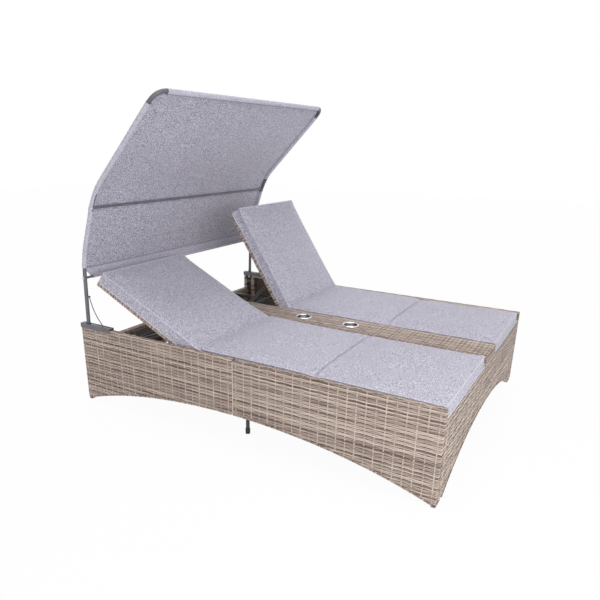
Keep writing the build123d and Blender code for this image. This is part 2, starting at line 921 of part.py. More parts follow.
def pad(plane, low, high, low_dip, high_dip):
    """Box cushion along a plane's local Y: crowned top, bulged and drawn-in sides."""
    with BuildPart() as body:
        for share in pad_station_shares:
            swell = 4 * share * (1 - share)
            dip = max(0, 1 - 4 * share) * low_dip + max(0, 4 * share - 3) * high_dip
            half = cushion_width / 2 - cushion_draw * swell
            top = cushion_base + cushion_edge - dip
            middle = (cushion_base + top) / 2
            crest = top + cushion_end_crown + cushion_crown * swell
            spot = plane.location * Location((0, low + share * (high - low), 0))
            section_plane = Plane(
                origin=spot.position, x_dir=plane.x_dir, z_dir=plane.y_dir * -1
            )
            with BuildSketch(section_plane):
                with BuildLine():
                    Line((-half, cushion_base), (half, cushion_base))
                    ThreePointArc(
                        (half, cushion_base), (half + cushion_bulge, middle), (half, top)
                    )
                    ThreePointArc((half, top), (0, crest), (-half, top))
                    ThreePointArc(
                        (-half, top), (-half - cushion_bulge, middle), (-half, cushion_base)
                    )
                make_face()
        loft()
    return body.part


# Cushions: seat pad with a sewn fold, back pad with a round nose at the hinge
seat_radius = nose_radius + fold_gap
seat_turn = radians(90 + top_recline)
seat_base = cushion_base
crest_height = nose_radius + 2 * cushion_crown
seat_reach = seat_radius * cos(seat_turn)
seat_rise = seat_radius * sin(seat_turn)
lean = radians(top_recline + seat_lean)
seat_top_reach = seat_reach + (crest_height - seat_rise) / tan(lean)
seat_low_turn = asin(seat_base / seat_radius)
middle_turn = (seat_turn + radians(180) - seat_low_turn) / 2
nose_angle = radians(90 + nose_turn)
cushion_foot = -half_length + cushion_foot_gap
cushion_head = back_length - cushion_head_inset
for side_name, side, recline in sides:
    seat_plane = Plane(origin=(side * bay_centre, hinge_place, hinge_height))
    foot_end = cushion_foot - hinge_place
    fold = deck_fold_place - hinge_place
    with BuildPart() as seat_cushion:
        add(pad(seat_plane, foot_end, fold, 0, fold_dip))
        add(pad(seat_plane, fold, seat_top_reach, fold_dip, 0))
        side_plane = Plane(origin=seat_plane.origin, x_dir=(0, 1, 0), z_dir=(1, 0, 0))
        with BuildSketch(side_plane):
            with BuildLine():
                Polyline(
                    (foot_end, seat_base),
                    (-seat_radius * cos(seat_low_turn), seat_base),
                )
                ThreePointArc(
                    (-seat_radius * cos(seat_low_turn), seat_base),
                    (seat_radius * cos(middle_turn), seat_radius * sin(middle_turn)),
                    (seat_reach, seat_rise),
                )
                Polyline(
                    (seat_reach, seat_rise),
                    (seat_top_reach, crest_height),
                    (foot_end, crest_height),
                    (foot_end, seat_base),
                )
            make_face()
        extrude(amount=cushion_width / 2 + overrun, both=True, mode=Mode.INTERSECT)
    keep(seat_cushion, f"seat_cushion_{side_name}")

    plane = back_plane(side, recline)
    nose_reach = nose_radius * cos(nose_angle)
    nose_rise = nose_radius * sin(nose_angle)
    half_nose = (nose_angle + radians(90)) / 2
    with BuildPart() as back_cushion:
        add(pad(plane, nose_reach, cushion_head, 0, 0))
        side_plane = Plane(origin=plane.origin, x_dir=plane.y_dir, z_dir=(1, 0, 0))
        with BuildSketch(side_plane):
            with BuildLine():
                Polyline(
                    (0, nose_radius),
                    (0, crest_height),
                    (cushion_head, crest_height),
                    (cushion_head, cushion_base),
                    (nose_foot, cushion_base),
                    (nose_reach, nose_rise),
                )
                ThreePointArc(
                    (nose_reach, nose_rise),
                    (nose_radius * cos(half_nose), nose_radius * sin(half_nose)),
                    (0, nose_radius),
                )
            make_face()
        extrude(amount=cushion_width / 2 + overrun, both=True, mode=Mode.INTERSECT)
    keep(back_cushion, f"back_cushion_{side_name}")


# Canopy side tubes: their corners, seen from the side, and places along them
tube_corners = [
    Vector(pivot_place, pivot_height),
    Vector(low_bend_place, low_bend_height),
    Vector(high_bend_place, high_bend_height),
    Vector(hoop_place, hoop_height),
]
low_run = (tube_corners[1] - tube_corners[0]).normalized()
high_run = (tube_corners[2] - tube_corners[1]).normalized()
top_run = (tube_corners[3] - tube_corners[2]).normalized()
bend_reach = high_bend_radius * tan(radians(high_run.get_angle(top_run)) / 2)
joint = tube_corners[2] - high_run * (bend_reach + joint_gap)
post_start = tube_corners[0] + low_run * tube_start
bottom_bar_spot = tube_corners[0] + low_run * ((bottom_bar_height - pivot_height) / low_run.Y)
mid_bar_spot = joint + high_run * mid_bar_rise


def out(side, spot):
    """Point of a canopy side tube at the place and height of spot."""
    return (side * post_line, spot.X, spot.Y)


def tube_plane(side, spot, run):
    """Plane across a canopy side tube at spot, where the tube follows run."""
    return Plane(origin=out(side, spot), x_dir=(1, 0, 0), z_dir=(0, run.X, run.Y))


# Posts: tongue in the side panel, tube up to the joint and lug for the stay rod
for side_name, side, recline in sides:
    with BuildPart() as canopy_post:
        with BuildLine():
            post_path = FilletPolyline(
                out(side, post_start), out(side, tube_corners[1]), out(side, joint),
                radius=low_bend_radius,
            )
        with BuildSketch(tube_plane(side, post_start, low_run)):
            Circle(canopy_tube / 2)
            Circle(canopy_tube / 2 - canopy_wall, mode=Mode.SUBTRACT)
        sweep(path=post_path)
        with BuildSketch(tube_plane(side, post_start, low_run)):
            Circle(canopy_tube / 2 - canopy_wall + tongue_plug_bite)
        extrude(amount=tongue_plug)
        tongue_plane = Plane(
            origin=(side * post_line - tongue_thickness / 2, pivot_place, pivot_height),
            x_dir=(0, low_run.Y, -low_run.X),
            z_dir=(1, 0, 0),
        )
        with BuildSketch(tongue_plane):
            Circle(tongue_width / 2)
            with Locations((0, tube_start / 2)):
                Rectangle(tongue_width, tube_start)
            Circle(pivot_pin / 2 + running_fit, mode=Mode.SUBTRACT)
        extrude(amount=tongue_thickness)
        lug_face = side * (rod_line + rod_eye_width / 2 + rod_side_gap)
        lug_reach = bottom_bar_spot.X - rod_eye_place
        with BuildSketch(Plane.YZ.offset(lug_face)):
            with Locations((rod_eye_place, rod_eye_height)):
                Circle(rod_eye / 2)
            with Locations((rod_eye_place + lug_reach / 2, rod_eye_height)):
                Rectangle(lug_reach, rod_eye)
        extrude(amount=side * rod_lug)
        pin_reach = rod_eye_width + 2 * rod_side_gap
        with BuildSketch(Plane.YZ.offset(lug_face)):
            with Locations((rod_eye_place, rod_eye_height)):
                Circle(rod_pin / 2)
        extrude(amount=-side * pin_reach)
        with BuildSketch(Plane.YZ.offset(lug_face - side * pin_reach)):
            with Locations((rod_eye_place, rod_eye_height)):
                Circle(rod_pin_head / 2)
        extrude(amount=-side * rod_pin_head_height)
        with BuildSketch(Plane.YZ.offset(side * post_line)):
            with Locations((bottom_bar_spot.X, bottom_bar_spot.Y)):
                Circle(canopy_bolt / 2 + bolt_fit)
        extrude(amount=canopy_tube, both=True, mode=Mode.SUBTRACT)
    keep(canopy_post, f"canopy_post_{side_name}")

# Hoop: one bent tube over both sides, its necked ends plugged into the posts
spigot_radius = canopy_tube / 2 - canopy_wall - spigot_fit
with BuildPart() as canopy_hoop:
    with BuildLine():
        hoop_path = FilletPolyline(
            out(-1, joint), out(-1, tube_corners[2]), out(-1, tube_corners[3]),
            out(1, tube_corners[3]), out(1, tube_corners[2]), out(1, joint),
            radius=[high_bend_radius, hoop_corner, hoop_corner, high_bend_radius],
        )
    with BuildSketch(tube_plane(-1, joint, high_run)):
        Circle(canopy_tube / 2)
        Circle(canopy_tube / 2 - canopy_wall, mode=Mode.SUBTRACT)
    sweep(path=hoop_path)
    for side in (-1, 1):
        with BuildSketch(tube_plane(side, joint, high_run)):
            Circle(canopy_tube / 2 - canopy_wall + tongue_plug_bite)
            Circle(spigot_radius - canopy_wall, mode=Mode.SUBTRACT)
        extrude(amount=canopy_wall)
        with BuildSketch(tube_plane(side, joint, high_run)):
            Circle(spigot_radius)
            Circle(spigot_radius - canopy_wall, mode=Mode.SUBTRACT)
        extrude(amount=-spigot_length)
    with BuildSketch(Plane.YZ):
        with Locations((mid_bar_spot.X, mid_bar_spot.Y)):
            Circle(canopy_bolt / 2 + bolt_fit)
    extrude(amount=half_width + overrun, both=True, mode=Mode.SUBTRACT)
keep(canopy_hoop, "canopy_hoop")

# Cross bars, shaped to the side tubes at their ends and plugged for the bolts
for bar_name, spot, run in (
    ("canopy_bottom_bar", bottom_bar_spot, low_run),
    ("canopy_mid_bar", mid_bar_spot, high_run),
):
    with BuildPart() as bar:
        with BuildSketch(Plane.YZ):
            with Locations((spot.X, spot.Y)):
                Circle(cross_bar / 2)
        extrude(amount=post_line, both=True)
        with BuildSketch(Plane.YZ):
            with Locations((spot.X, spot.Y)):
                Circle(cross_bar / 2 - cross_bar_wall)
        extrude(amount=post_line - cross_bar_plug, both=True, mode=Mode.SUBTRACT)
        for side in (-1, 1):
            with BuildSketch(tube_plane(side, spot, run)):
                Circle(canopy_tube / 2 + frame_fit)
            extrude(amount=cross_bar, both=True, mode=Mode.SUBTRACT)
            with BuildSketch(Plane.YZ.offset(side * post_line)):
                with Locations((spot.X, spot.Y)):
                    Circle(canopy_bolt / 2 + bolt_fit)
            extrude(
                amount=-side * (canopy_tube / 2 + canopy_bolt_grip), mode=Mode.SUBTRACT
            )
    keep(bar, bar_name)

# Dome bolts through the side tubes into the cross bars
with BuildPart() as canopy_bolts:
    for side in (-1, 1):
        for spot in (bottom_bar_spot, mid_bar_spot):
            seat = side * (post_line + canopy_tube / 2 + bolt_fit)
            with BuildSketch(Plane.YZ.offset(seat)):
                with Locations((spot.X, spot.Y)):
                    Circle(canopy_bolt / 2)
            extrude(amount=-side * (canopy_tube + canopy_bolt_grip - canopy_bolt))
            with BuildSketch(Plane.YZ.offset(seat)):
                with Locations((spot.X, spot.Y)):
                    Circle(canopy_bolt_head / 2)
            extrude(amount=side * canopy_bolt_dome)
    domes = canopy_bolts.faces().filter_by(Axis.X).group_by(Axis.X)
    fillet(domes[0].edges() + domes[-1].edges(), canopy_bolt_dome * canopy_dome_share)
keep(canopy_bolts, "canopy_bolts")


def parallel(distance):
    """Corners of the canopy's side line, moved outwards by distance."""
    runs = [low_run, high_run, top_run]
    normals = [Vector(run.Y, -run.X) for run in runs]
    points = [bottom_bar_spot + normals[0] * distance]
    for index in (1, 2):
        mitre = (normals[index - 1] + normals[index]).normalized()
        turn = radians(runs[index - 1].get_angle(runs[index])) / 2
        points.append(tube_corners[index] + mitre * (distance / cos(turn)))
    points.append(tube_corners[3] + normals[2] * distance)
    return points


# Canopy fabric: one curved sheet with sleeves round the side tubes, top and bottom bar
sleeve_radius = canopy_tube / 2 + sleeve_gap + fabric
tube_clear = canopy_tube / 2 + sleeve_gap
with BuildPart() as sleeves:
    for side in (-1, 1):
        with BuildLine():
            side_path = FilletPolyline(
                out(side, bottom_bar_spot), out(side, tube_corners[1]),
                out(side, tube_corners[2]), out(side, tube_corners[3]),
                radius=[low_bend_radius, high_bend_radius],
            )
        with BuildSketch(tube_plane(side, bottom_bar_spot, low_run)):
            Circle(sleeve_radius)
        sweep(path=side_path)
        for low, high in (
            (bottom_bar_height - sleeve_radius, hem_height),
            (sleeve_low_end, sleeve_high_start),
        ):
            with Locations((side * post_line, tube_corners[2].X, (low + high) / 2)):
                Box(4 * sleeve_radius, 2 * low_bend_radius, high - low, mode=Mode.SUBTRACT)
        corner_cut = tube_plane(side, tube_corners[3] - top_run * sleeve_corner_gap, top_run)
        with BuildSketch(corner_cut):
            Circle(2 * sleeve_radius)
        extrude(amount=2 * sleeve_corner_gap, mode=Mode.SUBTRACT)

inner_line = parallel(fabric_offset)
outer_line = parallel(fabric_offset + fabric)
with BuildPart() as canopy_fabric:
    with BuildSketch(Plane.YZ):
        with BuildLine():
            inner_edge = FilletPolyline(
                *inner_line,
                radius=[low_bend_radius + fabric_offset, high_bend_radius + fabric_offset],
            )
            outer_edge = FilletPolyline(
                *outer_line,
                radius=[
                    low_bend_radius + fabric_offset + fabric,
                    high_bend_radius + fabric_offset + fabric,
                ],
            )
            Line(inner_edge @ 0, outer_edge @ 0)
            Line(inner_edge @ 1, outer_edge @ 1)
        make_face()
    extrude(amount=post_line, both=True)
    top_plane = Plane(
        origin=(0, tube_corners[3].X, tube_corners[3].Y),
        x_dir=(1, 0, 0),
        z_dir=(0, top_run.Y, -top_run.X),
    )
    with BuildSketch(top_plane):
        with Locations([(side * post_line, 0) for side in (-1, 1)]):
            Rectangle(2 * hoop_corner, 2 * hoop_corner)
        with Locations(
            [
                (side * (post_line - hoop_corner), toward * hoop_corner)
                for side in (-1, 1)
                for toward in (-1, 1)
            ]
        ):
            Circle(hoop_corner, mode=Mode.SUBTRACT)
    extrude(amount=fabric_offset + 2 * fabric, both=True, mode=Mode.SUBTRACT)
    with BuildSketch(Plane.XZ.offset(-pivot_place)):
        for side in (-1, 1):
            with BuildLine():
                Polyline(
                    (side * hem_width / 2, bottom_bar_height - sleeve_radius),
                    (side * hem_width / 2, bottom_bar_height + fabric_offset),
                    (side * post_line, hem_height),
                    (side * half_width, hem_height),
                    (side * half_width, bottom_bar_height - sleeve_radius),
                    close=True,
                )
            make_face()
    extrude(amount=hem_corner, both=True, mode=Mode.SUBTRACT)
    add(sleeves.part)
    with BuildSketch(Plane.YZ):
        with Locations((tube_corners[3].X, tube_corners[3].Y)):
            Circle(sleeve_radius)
    extrude(amount=post_line - sleeve_corner_gap, both=True)
    with BuildSketch(Plane.YZ):
        with Locations((bottom_bar_spot.X, bottom_bar_spot.Y)):
            Circle(cross_bar / 2 + sleeve_gap + fabric)
    extrude(amount=hem_width / 2, both=True)
    with BuildSketch(Plane.YZ):
        with Locations((bottom_bar_spot.X, bottom_bar_spot.Y)):
            Circle(cross_bar / 2 + sleeve_gap)
    extrude(amount=post_line, both=True, mode=Mode.SUBTRACT)
    with BuildLine():
        whole_path = FilletPolyline(
            out(-1, post_start), out(-1, tube_corners[1]), out(-1, tube_corners[2]),
            out(-1, tube_corners[3]), out(1, tube_corners[3]), out(1, tube_corners[2]),
            out(1, tube_corners[1]), out(1, post_start),
            radius=[
                low_bend_radius, high_bend_radius, hoop_corner,
                hoop_corner, high_bend_radius, low_bend_radius,
            ],
        )
    with BuildSketch(tube_plane(-1, post_start, low_run)):
        Circle(tube_clear)
    sweep(path=whole_path, mode=Mode.SUBTRACT)
keep(canopy_fabric, "canopy_fabric")

# Saddle plates on the side panels, with ears for the pivots and slots for the rods
plate_top = side_height + plate_rise
plate_start = half_length - plate_length
plate_middle = half_length - plate_length / 2
with BuildPart() as canopy_plates:
    for side in (-1, 1):
        with BuildSketch(Plane.XZ.offset(-plate_start)):
            outer = panel_thickness / 2 + plate_flange
            with Locations((side * post_line, plate_top - plate_skirt / 2)):
                Rectangle(2 * outer, plate_skirt)
            with Locations((side * post_line, plate_top - (plate_skirt + plate_sheet) / 2)):
                Rectangle(panel_thickness, plate_skirt - plate_sheet, mode=Mode.SUBTRACT)
        extrude(amount=-plate_length)
        rib_places = (
            plate_start + plate_rib_inset,
            plate_middle + plate_rib_inset / 2,
        )
        with Locations(
            [(side * post_line, place, side_height + plate_rise / 2) for place in rib_places]
        ):
            Box(panel_thickness, plate_rib, plate_rise)
        ear_line_x = tongue_thickness / 2 + frame_fit + plate_ear / 2
        ear_height = plate_top - plate_ear_foot
        with Locations(
            [
                (side * post_line + edge * ear_line_x, pivot_place, plate_ear_foot + ear_height / 2)
                for edge in (-1, 1)
            ]
        ):
            Box(plate_ear, plate_ear_width, ear_height)
        with Locations((side * post_line, pivot_place, plate_top)):
            Box(tongue_slot_width, tongue_slot, 2 * plate_rise, mode=Mode.SUBTRACT)
        with BuildSketch(Plane.YZ.offset(side * post_line)):
            with Locations((pivot_place, pivot_height)):
                Circle(pivot_pin / 2 + pin_fit)
        extrude(amount=panel_thickness / 2, both=True, mode=Mode.SUBTRACT)
        slot_middle = (rod_slot_start + rod_slot_end) / 2
        with BuildSketch(Plane.XY.offset(plate_top)):
            with Locations((side * rod_line, slot_middle)):
                Rectangle(rod_slot, rod_slot_end - rod_slot_start)
            with Locations(
                [
                    (side * rod_line, place)
                    for place in (rod_slot_start, slot_middle, rod_slot_end)
                ]
            ):
                Circle(rod_slot_round / 2)
        extrude(amount=-2 * plate_sheet, mode=Mode.SUBTRACT)
keep(canopy_plates, "canopy_plates")

# Pivot pins through the ears and tongues
with BuildPart() as canopy_pins:
    with BuildSketch(Plane.YZ):
        with Locations((pivot_place, pivot_height)):
            Circle(pivot_pin / 2)
    pin_half = tongue_thickness / 2 + frame_fit + plate_ear
    extrude(amount=post_line + pin_half, both=True)
    Box(
        2 * (post_line - pin_half), 2 * base_length, 2 * side_height, mode=Mode.SUBTRACT
    )
keep(canopy_pins, "canopy_pivot_pins")

# Bowed stay rods from the lugs on the posts down into the plates' slots
for side_name, side, recline in sides:
    with BuildPart() as stay_rod:
        with BuildLine(Plane.YZ.offset(side * rod_line)):
            rod_path = ThreePointArc(
                (rod_eye_place, rod_eye_height),
                (rod_bow_place, rod_bow_height),
                (rod_tip_place, rod_tip_height),
            )
        with BuildSketch(Plane(rod_path @ 0, z_dir=rod_path % 0)):
            Circle(rod / 2)
        sweep(path=rod_path)
        with BuildSketch(Plane.YZ.offset(side * rod_line)):
            with Locations((rod_eye_place, rod_eye_height)):
                Circle(rod_eye / 2)
        extrude(amount=rod_eye_width / 2, both=True)
        with BuildSketch(Plane.YZ.offset(side * rod_line)):
            with Locations((rod_eye_place, rod_eye_height)):
                Circle(rod_pin / 2 + running_fit)
        extrude(amount=rod_eye_width, both=True, mode=Mode.SUBTRACT)
    keep(stay_rod, f"arc_stay_{side_name}")
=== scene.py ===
import json
from math import cos, pi, radians, sin, tan

import bpy
import numpy as np
from mathutils import Matrix, Vector
from mathutils.bvhtree import BVHTree


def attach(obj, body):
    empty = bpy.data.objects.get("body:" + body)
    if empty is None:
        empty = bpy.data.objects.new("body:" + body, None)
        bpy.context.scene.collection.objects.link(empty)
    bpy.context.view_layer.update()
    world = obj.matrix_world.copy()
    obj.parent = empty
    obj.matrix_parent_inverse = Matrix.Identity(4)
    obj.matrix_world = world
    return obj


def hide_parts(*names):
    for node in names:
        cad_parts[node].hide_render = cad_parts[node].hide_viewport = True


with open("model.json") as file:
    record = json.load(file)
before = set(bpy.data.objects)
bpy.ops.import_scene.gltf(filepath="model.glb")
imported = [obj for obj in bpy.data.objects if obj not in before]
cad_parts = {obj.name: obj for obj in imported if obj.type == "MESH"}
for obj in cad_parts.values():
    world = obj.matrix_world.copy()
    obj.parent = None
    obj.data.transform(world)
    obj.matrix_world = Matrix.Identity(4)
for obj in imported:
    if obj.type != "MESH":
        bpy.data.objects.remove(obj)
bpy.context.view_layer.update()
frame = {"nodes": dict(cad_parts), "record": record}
scene = bpy.context.scene

# Base, in metres: +Y is the head end, +X the right side seen from the foot end
HALF_LENGTH = 1.0
HALF_WIDTH = 0.8
SIDE_HEIGHT = 0.438
DECK_TOP = 0.383
HEAD_WALL_HEIGHT = 0.327
HALF_CONSOLE = 0.105
CONSOLE_LOW = 0.3
GLIDE = 0.005
PANEL = 0.028
PANEL_INSIDE = 0.772
WALL_NEAR = 0.107
BAY_CENTRE = 0.4385
HALF_JOINT = 0.0002
HALVES = (("foot", -HALF_LENGTH, -HALF_JOINT), ("head", HALF_JOINT, HALF_LENGTH))
SIDES = (("left", -1), ("right", 1))
ENDS = (("foot", -1), ("head", 1))
SIDE_UPRIGHTS = {"head": (0.2235, 0.57225, 0.921), "foot": (-0.88, -0.44)}

# Arches along the floor, as (half span, share of it that the handles reach in, rise)
SIDE_ARCH = (0.985, 0.437, 0.154)
END_ARCH = (0.715, 0.46, 0.16)
ARCH_CREST_SHARE = 0.75

# Pockets in the sides for the canopy's posts, and the console's openings for the cups
POCKET = (0.928, 0.980)
POCKET_DEPTH = 0.04
CUP_PLACES = (0.055, -0.241)
CUP_CLEAR = 0.042
CUP_RIM_DEPTH = 0.02

# Decks, at places along the base, and backs, at places up from their (place, height) hinge
SLING = 0.024
SLING_HALF = 0.3305
DECK_SPAN = (-0.969, 0.236)
DECK_BARS = (-0.88, -0.44, 0.0)
BACK_SPAN = (0.016, 0.697)
BACK_BARS = (0.242, 0.4626)
HINGE = (0.252, 0.371)
RECLINE = {"left": 26, "right": 57}

# Weave
ROW = 0.0085
STAKE = 0.043
ROW_WIDTH = 0.0074
PAIR_SHIFT = 0.0006
STAKE_WIDTH = 0.006
STRAND_THICK = 0.0013
SWING = 0.0011
SKIN_DEPTH = 0.00185
FRONT_DEPTH = 0.004
TURN_END = 0.005
TURN_RADIUS = 0.003
POINT_GAP = 0.0003
EDGE_GAP = 0.003
SEAM_STRAND = -0.0045
SEAM_RISE = 0.0006
SEAM_INSET = 0.002
WRAP_RISE = 0.0004
WRAP_PITCH = 0.97 * ROW
WRAP_STEP = 0.006
WRAP_LAP = 0.010
# Dark sheet behind the rows of a woven face: painted shade that shows in the gaps between rows
SHADE_SHEET_DEPTH = 0.0021
SHADE_SHEET_THICK = 0.0002
SHADE_SHEET_SHARE = 1.02
CAP_LOW = 0.15
CAP_TURN = 0.02

# Tones of the strands: 0 is dark brown, 1 is light beige
DARK_ROW = (0.26, 0.48)
LIGHT_ROW = (0.48, 0.92)
FACE_STAKE = (0.75, 1.05)
CONSOLE_STAKE = (0.85, 1.1)
WRAP = (0.25, 0.85)
SEAM_TONE = 1.15
# Tone below 0 keeps the sheet behind the rows at the darkest brown: painted shade
SHADE_SHEET_TONE = -1.0

# Canopy, with (place, height) corners of its side tubes
POST_LINE = 0.786
TUBE_CORNERS = ((0.955, 0.416), (0.942, 0.805), (0.820, 1.143), (0.378, 1.592))
TUBE_RADII = (0.6, 0.4)
HOOP_CORNER = 0.06
BOTTOM_BAR = 0.701
MID_BAR = 1.0677
FABRIC_OFFSET = 0.008
FABRIC_THICK = 0.0012
HEM_HEIGHT = 0.755
HEM_HALF = 0.735
SLEEVE_RADIUS = 0.0118
SLEEVE_WINDOW = (1.050, 1.138)
SLEEVE_CORNER = 0.068
BOLT_RISE = 0.0048
BAR_SLEEVE_RADIUS = 0.0082
SEAM = 0.020
BOTTOM_HEM = 0.05


# Lines and points
def world_point(x, y, z):
    """Stack coordinates that may be numbers or arrays into rows of points."""
    x, y, z = np.broadcast_arrays(x, y, z)
    return np.stack([x, y, z], axis=-1).astype(float)


def unit(v):
    return v / np.maximum(np.linalg.norm(v, axis=-1, keepdims=True), 1e-12)


def ramp(value, start, stop):
    """0 at start, 1 at stop, and held beyond both."""
    return np.clip((value - start) / (stop - start), 0, 1)


def distances(points):
    """Distance along a line, at each of its points."""
    steps = np.linalg.norm(np.diff(points, axis=0), axis=1)
    return np.concatenate([[0.0], np.cumsum(steps)])


def at_distance(wanted, along, points):
    """Points of a flat line at the wanted distances along it."""
    return np.stack([np.interp(wanted, along, points[:, i]) for i in (0, 1)], axis=-1)


def right_of(run):
    """Directions that point to the right of a flat line's way."""
    return np.stack([run[:, 1], -run[:, 0]], axis=1)


def tube_quads(starts, ends, sides):
    """Quads of a tube, given the numbers of the rings at both ends of each of its parts."""
    i, n = starts[:, None] * sides, ends[:, None] * sides
    j = np.arange(sides)[None, :]
    k = (j + 1) % sides
    return np.stack([i + j, i + k, n + k, n + j], axis=-1).reshape(-1, 4)


# Shader helpers
class Value:
    """A shader socket that can be added, multiplied and so on."""

    def __init__(self, paint, socket):
        self.paint, self.socket = paint, socket

    def maths(self, operation, *values, clamp=False):
        sockets = dict(enumerate(values))
        settings = {"operation": operation, "use_clamp": clamp}
        return self.paint.node("ShaderNodeMath", settings, sockets)

    def __add__(self, other):
        return self.maths("ADD", self, other)

    __radd__ = __add__

    def __mul__(self, other):
        return self.maths("MULTIPLY", self, other)

    __rmul__ = __mul__

    def __sub__(self, other):
        return self.maths("SUBTRACT", self, other)

    def __rsub__(self, other):
        return self.maths("SUBTRACT", other, self)

    def __truediv__(self, other):
        return self.maths("DIVIDE", self, other)

    def __abs__(self):
        return self.maths("ABSOLUTE", self)

    def sine(self):
        return self.maths("SINE", self)

    def clamped(self):
        return self.maths("ADD", self, 0.0, clamp=True)

    def beside(self, name):
        """Another output of the same node."""
        return Value(self.paint, self.socket.node.outputs[name])


class Paint:
    """The nodes that make a material or the world."""

    def __init__(self, owner):
        self.owner = owner
        owner.use_nodes = True
        self.tree = owner.node_tree
        self.tree.nodes.clear()

    def node(self, kind, settings=None, sockets=None, out=0):
        made = self.tree.nodes.new(kind)
        for key, value in (settings or {}).items():
            setattr(made, key, value)
        for key, value in (sockets or {}).items():
            if isinstance(value, Value):
                self.tree.links.new(value.socket, made.inputs[key])
            else:
                made.inputs[key].default_value = value
        return Value(self, made.outputs[out]) if made.outputs else None

    def mix(self, factor, first, second):
        """Colour between first and second, which are colours or sockets."""
        sockets = {0: factor, 6: self.colour(first), 7: self.colour(second)}
        return self.node("ShaderNodeMix", {"data_type": "RGBA"}, sockets, out=2)

    def colour(self, value):
        return value if isinstance(value, Value) else (*value, 1.0)

    def place(self):
        """Point on the object, in metres."""
        return self.node("ShaderNodeTexCoord", out=3)

    def parts(self, vector):
        """The three numbers of a vector."""
        first = self.node("ShaderNodeSeparateXYZ", None, {0: vector})
        return [first.beside(i) for i in range(3)]

    def vector(self, *numbers):
        return self.node("ShaderNodeCombineXYZ", None, dict(enumerate(numbers)))

    def noise(self, vector, scale, detail=2.0):
        sockets = {"Vector": vector, "Scale": scale, "Detail": detail}
        return self.node("ShaderNodeTexNoise", None, sockets)

    def spread(self, factor, low, high):
        """Factor stretched so that low gives 0 and high gives 1."""
        return ((factor - low) / (high - low)).clamped()

    def bump(self, height, distance, strength):
        sockets = {"Height": height, "Distance": distance, "Strength": strength}
        return self.node("ShaderNodeBump", None, sockets)

    def finish(self, colour, roughness, **others):
        sockets = {"Base Color": self.colour(colour), "Roughness": roughness}
        sockets.update({key.replace("_", " "): value for key, value in others.items()})
        surface = self.node("ShaderNodeBsdfPrincipled", None, sockets)
        self.node("ShaderNodeOutputMaterial", None, {"Surface": surface})
        return self.owner


# Materials of the weave and the cloths
STRAND_BROWN = (0.075, 0.052, 0.043)
STRAND_UMBER = (0.21, 0.15, 0.125)
STRAND_TAN = (0.43, 0.34, 0.29)
STRAND_BEIGE = (0.66, 0.55, 0.48)
YARN = 0.0016


def strand_paint():
    """Streaked flat resin strand: beige to dark brown by the strand's own tone."""
    p = Paint(bpy.data.materials.new("strand"))
    mark = p.node("ShaderNodeAttribute", {"attribute_name": "strand"}, out=1)
    along, across, tone = p.parts(mark)
    streak = p.noise(p.vector(along * 14.0, across * 1.6, tone * 31.0), scale=1.0, detail=3.0)
    patch = p.noise(p.vector(along * 5.0, tone * 57.0), scale=1.0, detail=1.0)
    shade = tone + (streak - 0.5) * 0.7 + (patch - 0.5) * 0.8
    dark = p.mix(p.spread(shade, 0.0, 0.35), STRAND_BROWN, STRAND_UMBER)
    body = p.mix(p.spread(shade, 0.3, 0.62), dark, STRAND_TAN)
    colour = p.mix(p.spread(shade, 0.62, 1.0), body, STRAND_BEIGE)
    grain = p.bump(streak, distance=0.0002, strength=0.5)
    return p.finish(colour, 0.42 + streak * 0.2, Normal=grain)


def cloth_paint(name, light, dark, grain, seam=0.0):
    """Heather cloth: plain weave of fine light and dark yarns.

    With a seam, the cloth is painted lighter up to that distance from its edge, a painted
    highlight, and darker along the seam line, for its stitches and their painted shadow.
    """
    p = Paint(bpy.data.materials.new(name))
    at = p.place()
    yarns = [(part * (2 * pi / YARN)).sine() for part in p.parts(at)]
    weave = (yarns[0] * yarns[1] + yarns[1] * yarns[2] + yarns[0] * yarns[2]) * 0.5
    fine = p.noise(at, scale=650.0)
    middle = p.noise(at, scale=grain, detail=3.0)
    broad = p.noise(at, scale=9.0)
    mottle = (fine - 0.5) * 1.4 + (middle - 0.5) * 6.2 + weave * 0.1 + 0.5
    tint = p.mix(mottle.clamped(), dark, light)
    colour = p.mix(p.spread(broad, 0.25, 0.9) * 0.18, tint, dark)
    if seam:
        # Painted highlight: the band within the seam distance of the edge is lightened; along the
        # seam line the colour is darkened for the stitches and their painted shadow
        gap = p.node("ShaderNodeAttribute", {"attribute_name": "edge"}, out=2) - seam
        colour = p.mix(p.spread(gap, 0.001, -0.001) * 0.45, colour, light)
        stitch_line_and_shade = p.spread(abs(gap), 0.0055, 0.002)
        colour = p.mix(stitch_line_and_shade * 0.55, colour, tuple(c * 0.7 for c in dark))
    relief = p.bump(weave * 0.5 + fine * 0.8, distance=0.0005, strength=0.6)
    sheen = {"Sheen_Weight": 0.25, "Sheen_Roughness": 0.5}
    return p.finish(colour, 0.92, Normal=relief, **sheen)


STRAND = strand_paint()
CUSHION = cloth_paint("cushion_cloth", (0.68, 0.66, 0.765), (0.27, 0.26, 0.325), 210.0)
PIPING = cloth_paint("piping_cloth", (0.77, 0.755, 0.86), (0.46, 0.45, 0.53), 210.0)
CANOPY = cloth_paint("canopy_cloth", (0.65, 0.63, 0.74), (0.235, 0.225, 0.28), 190.0, SEAM)


# Woven strands
def pair_shift(r):
    """Rows lie in pairs: even rows move up and odd rows down by this."""
    return PAIR_SHIFT * (1 - 2 * (r % 2))


def over_under(along, span, index):
    """Height of a strand over (1) and under (-1) the ones it crosses, which are span apart."""
    return np.cos(pi * (along / span - 0.5) + pi * index)


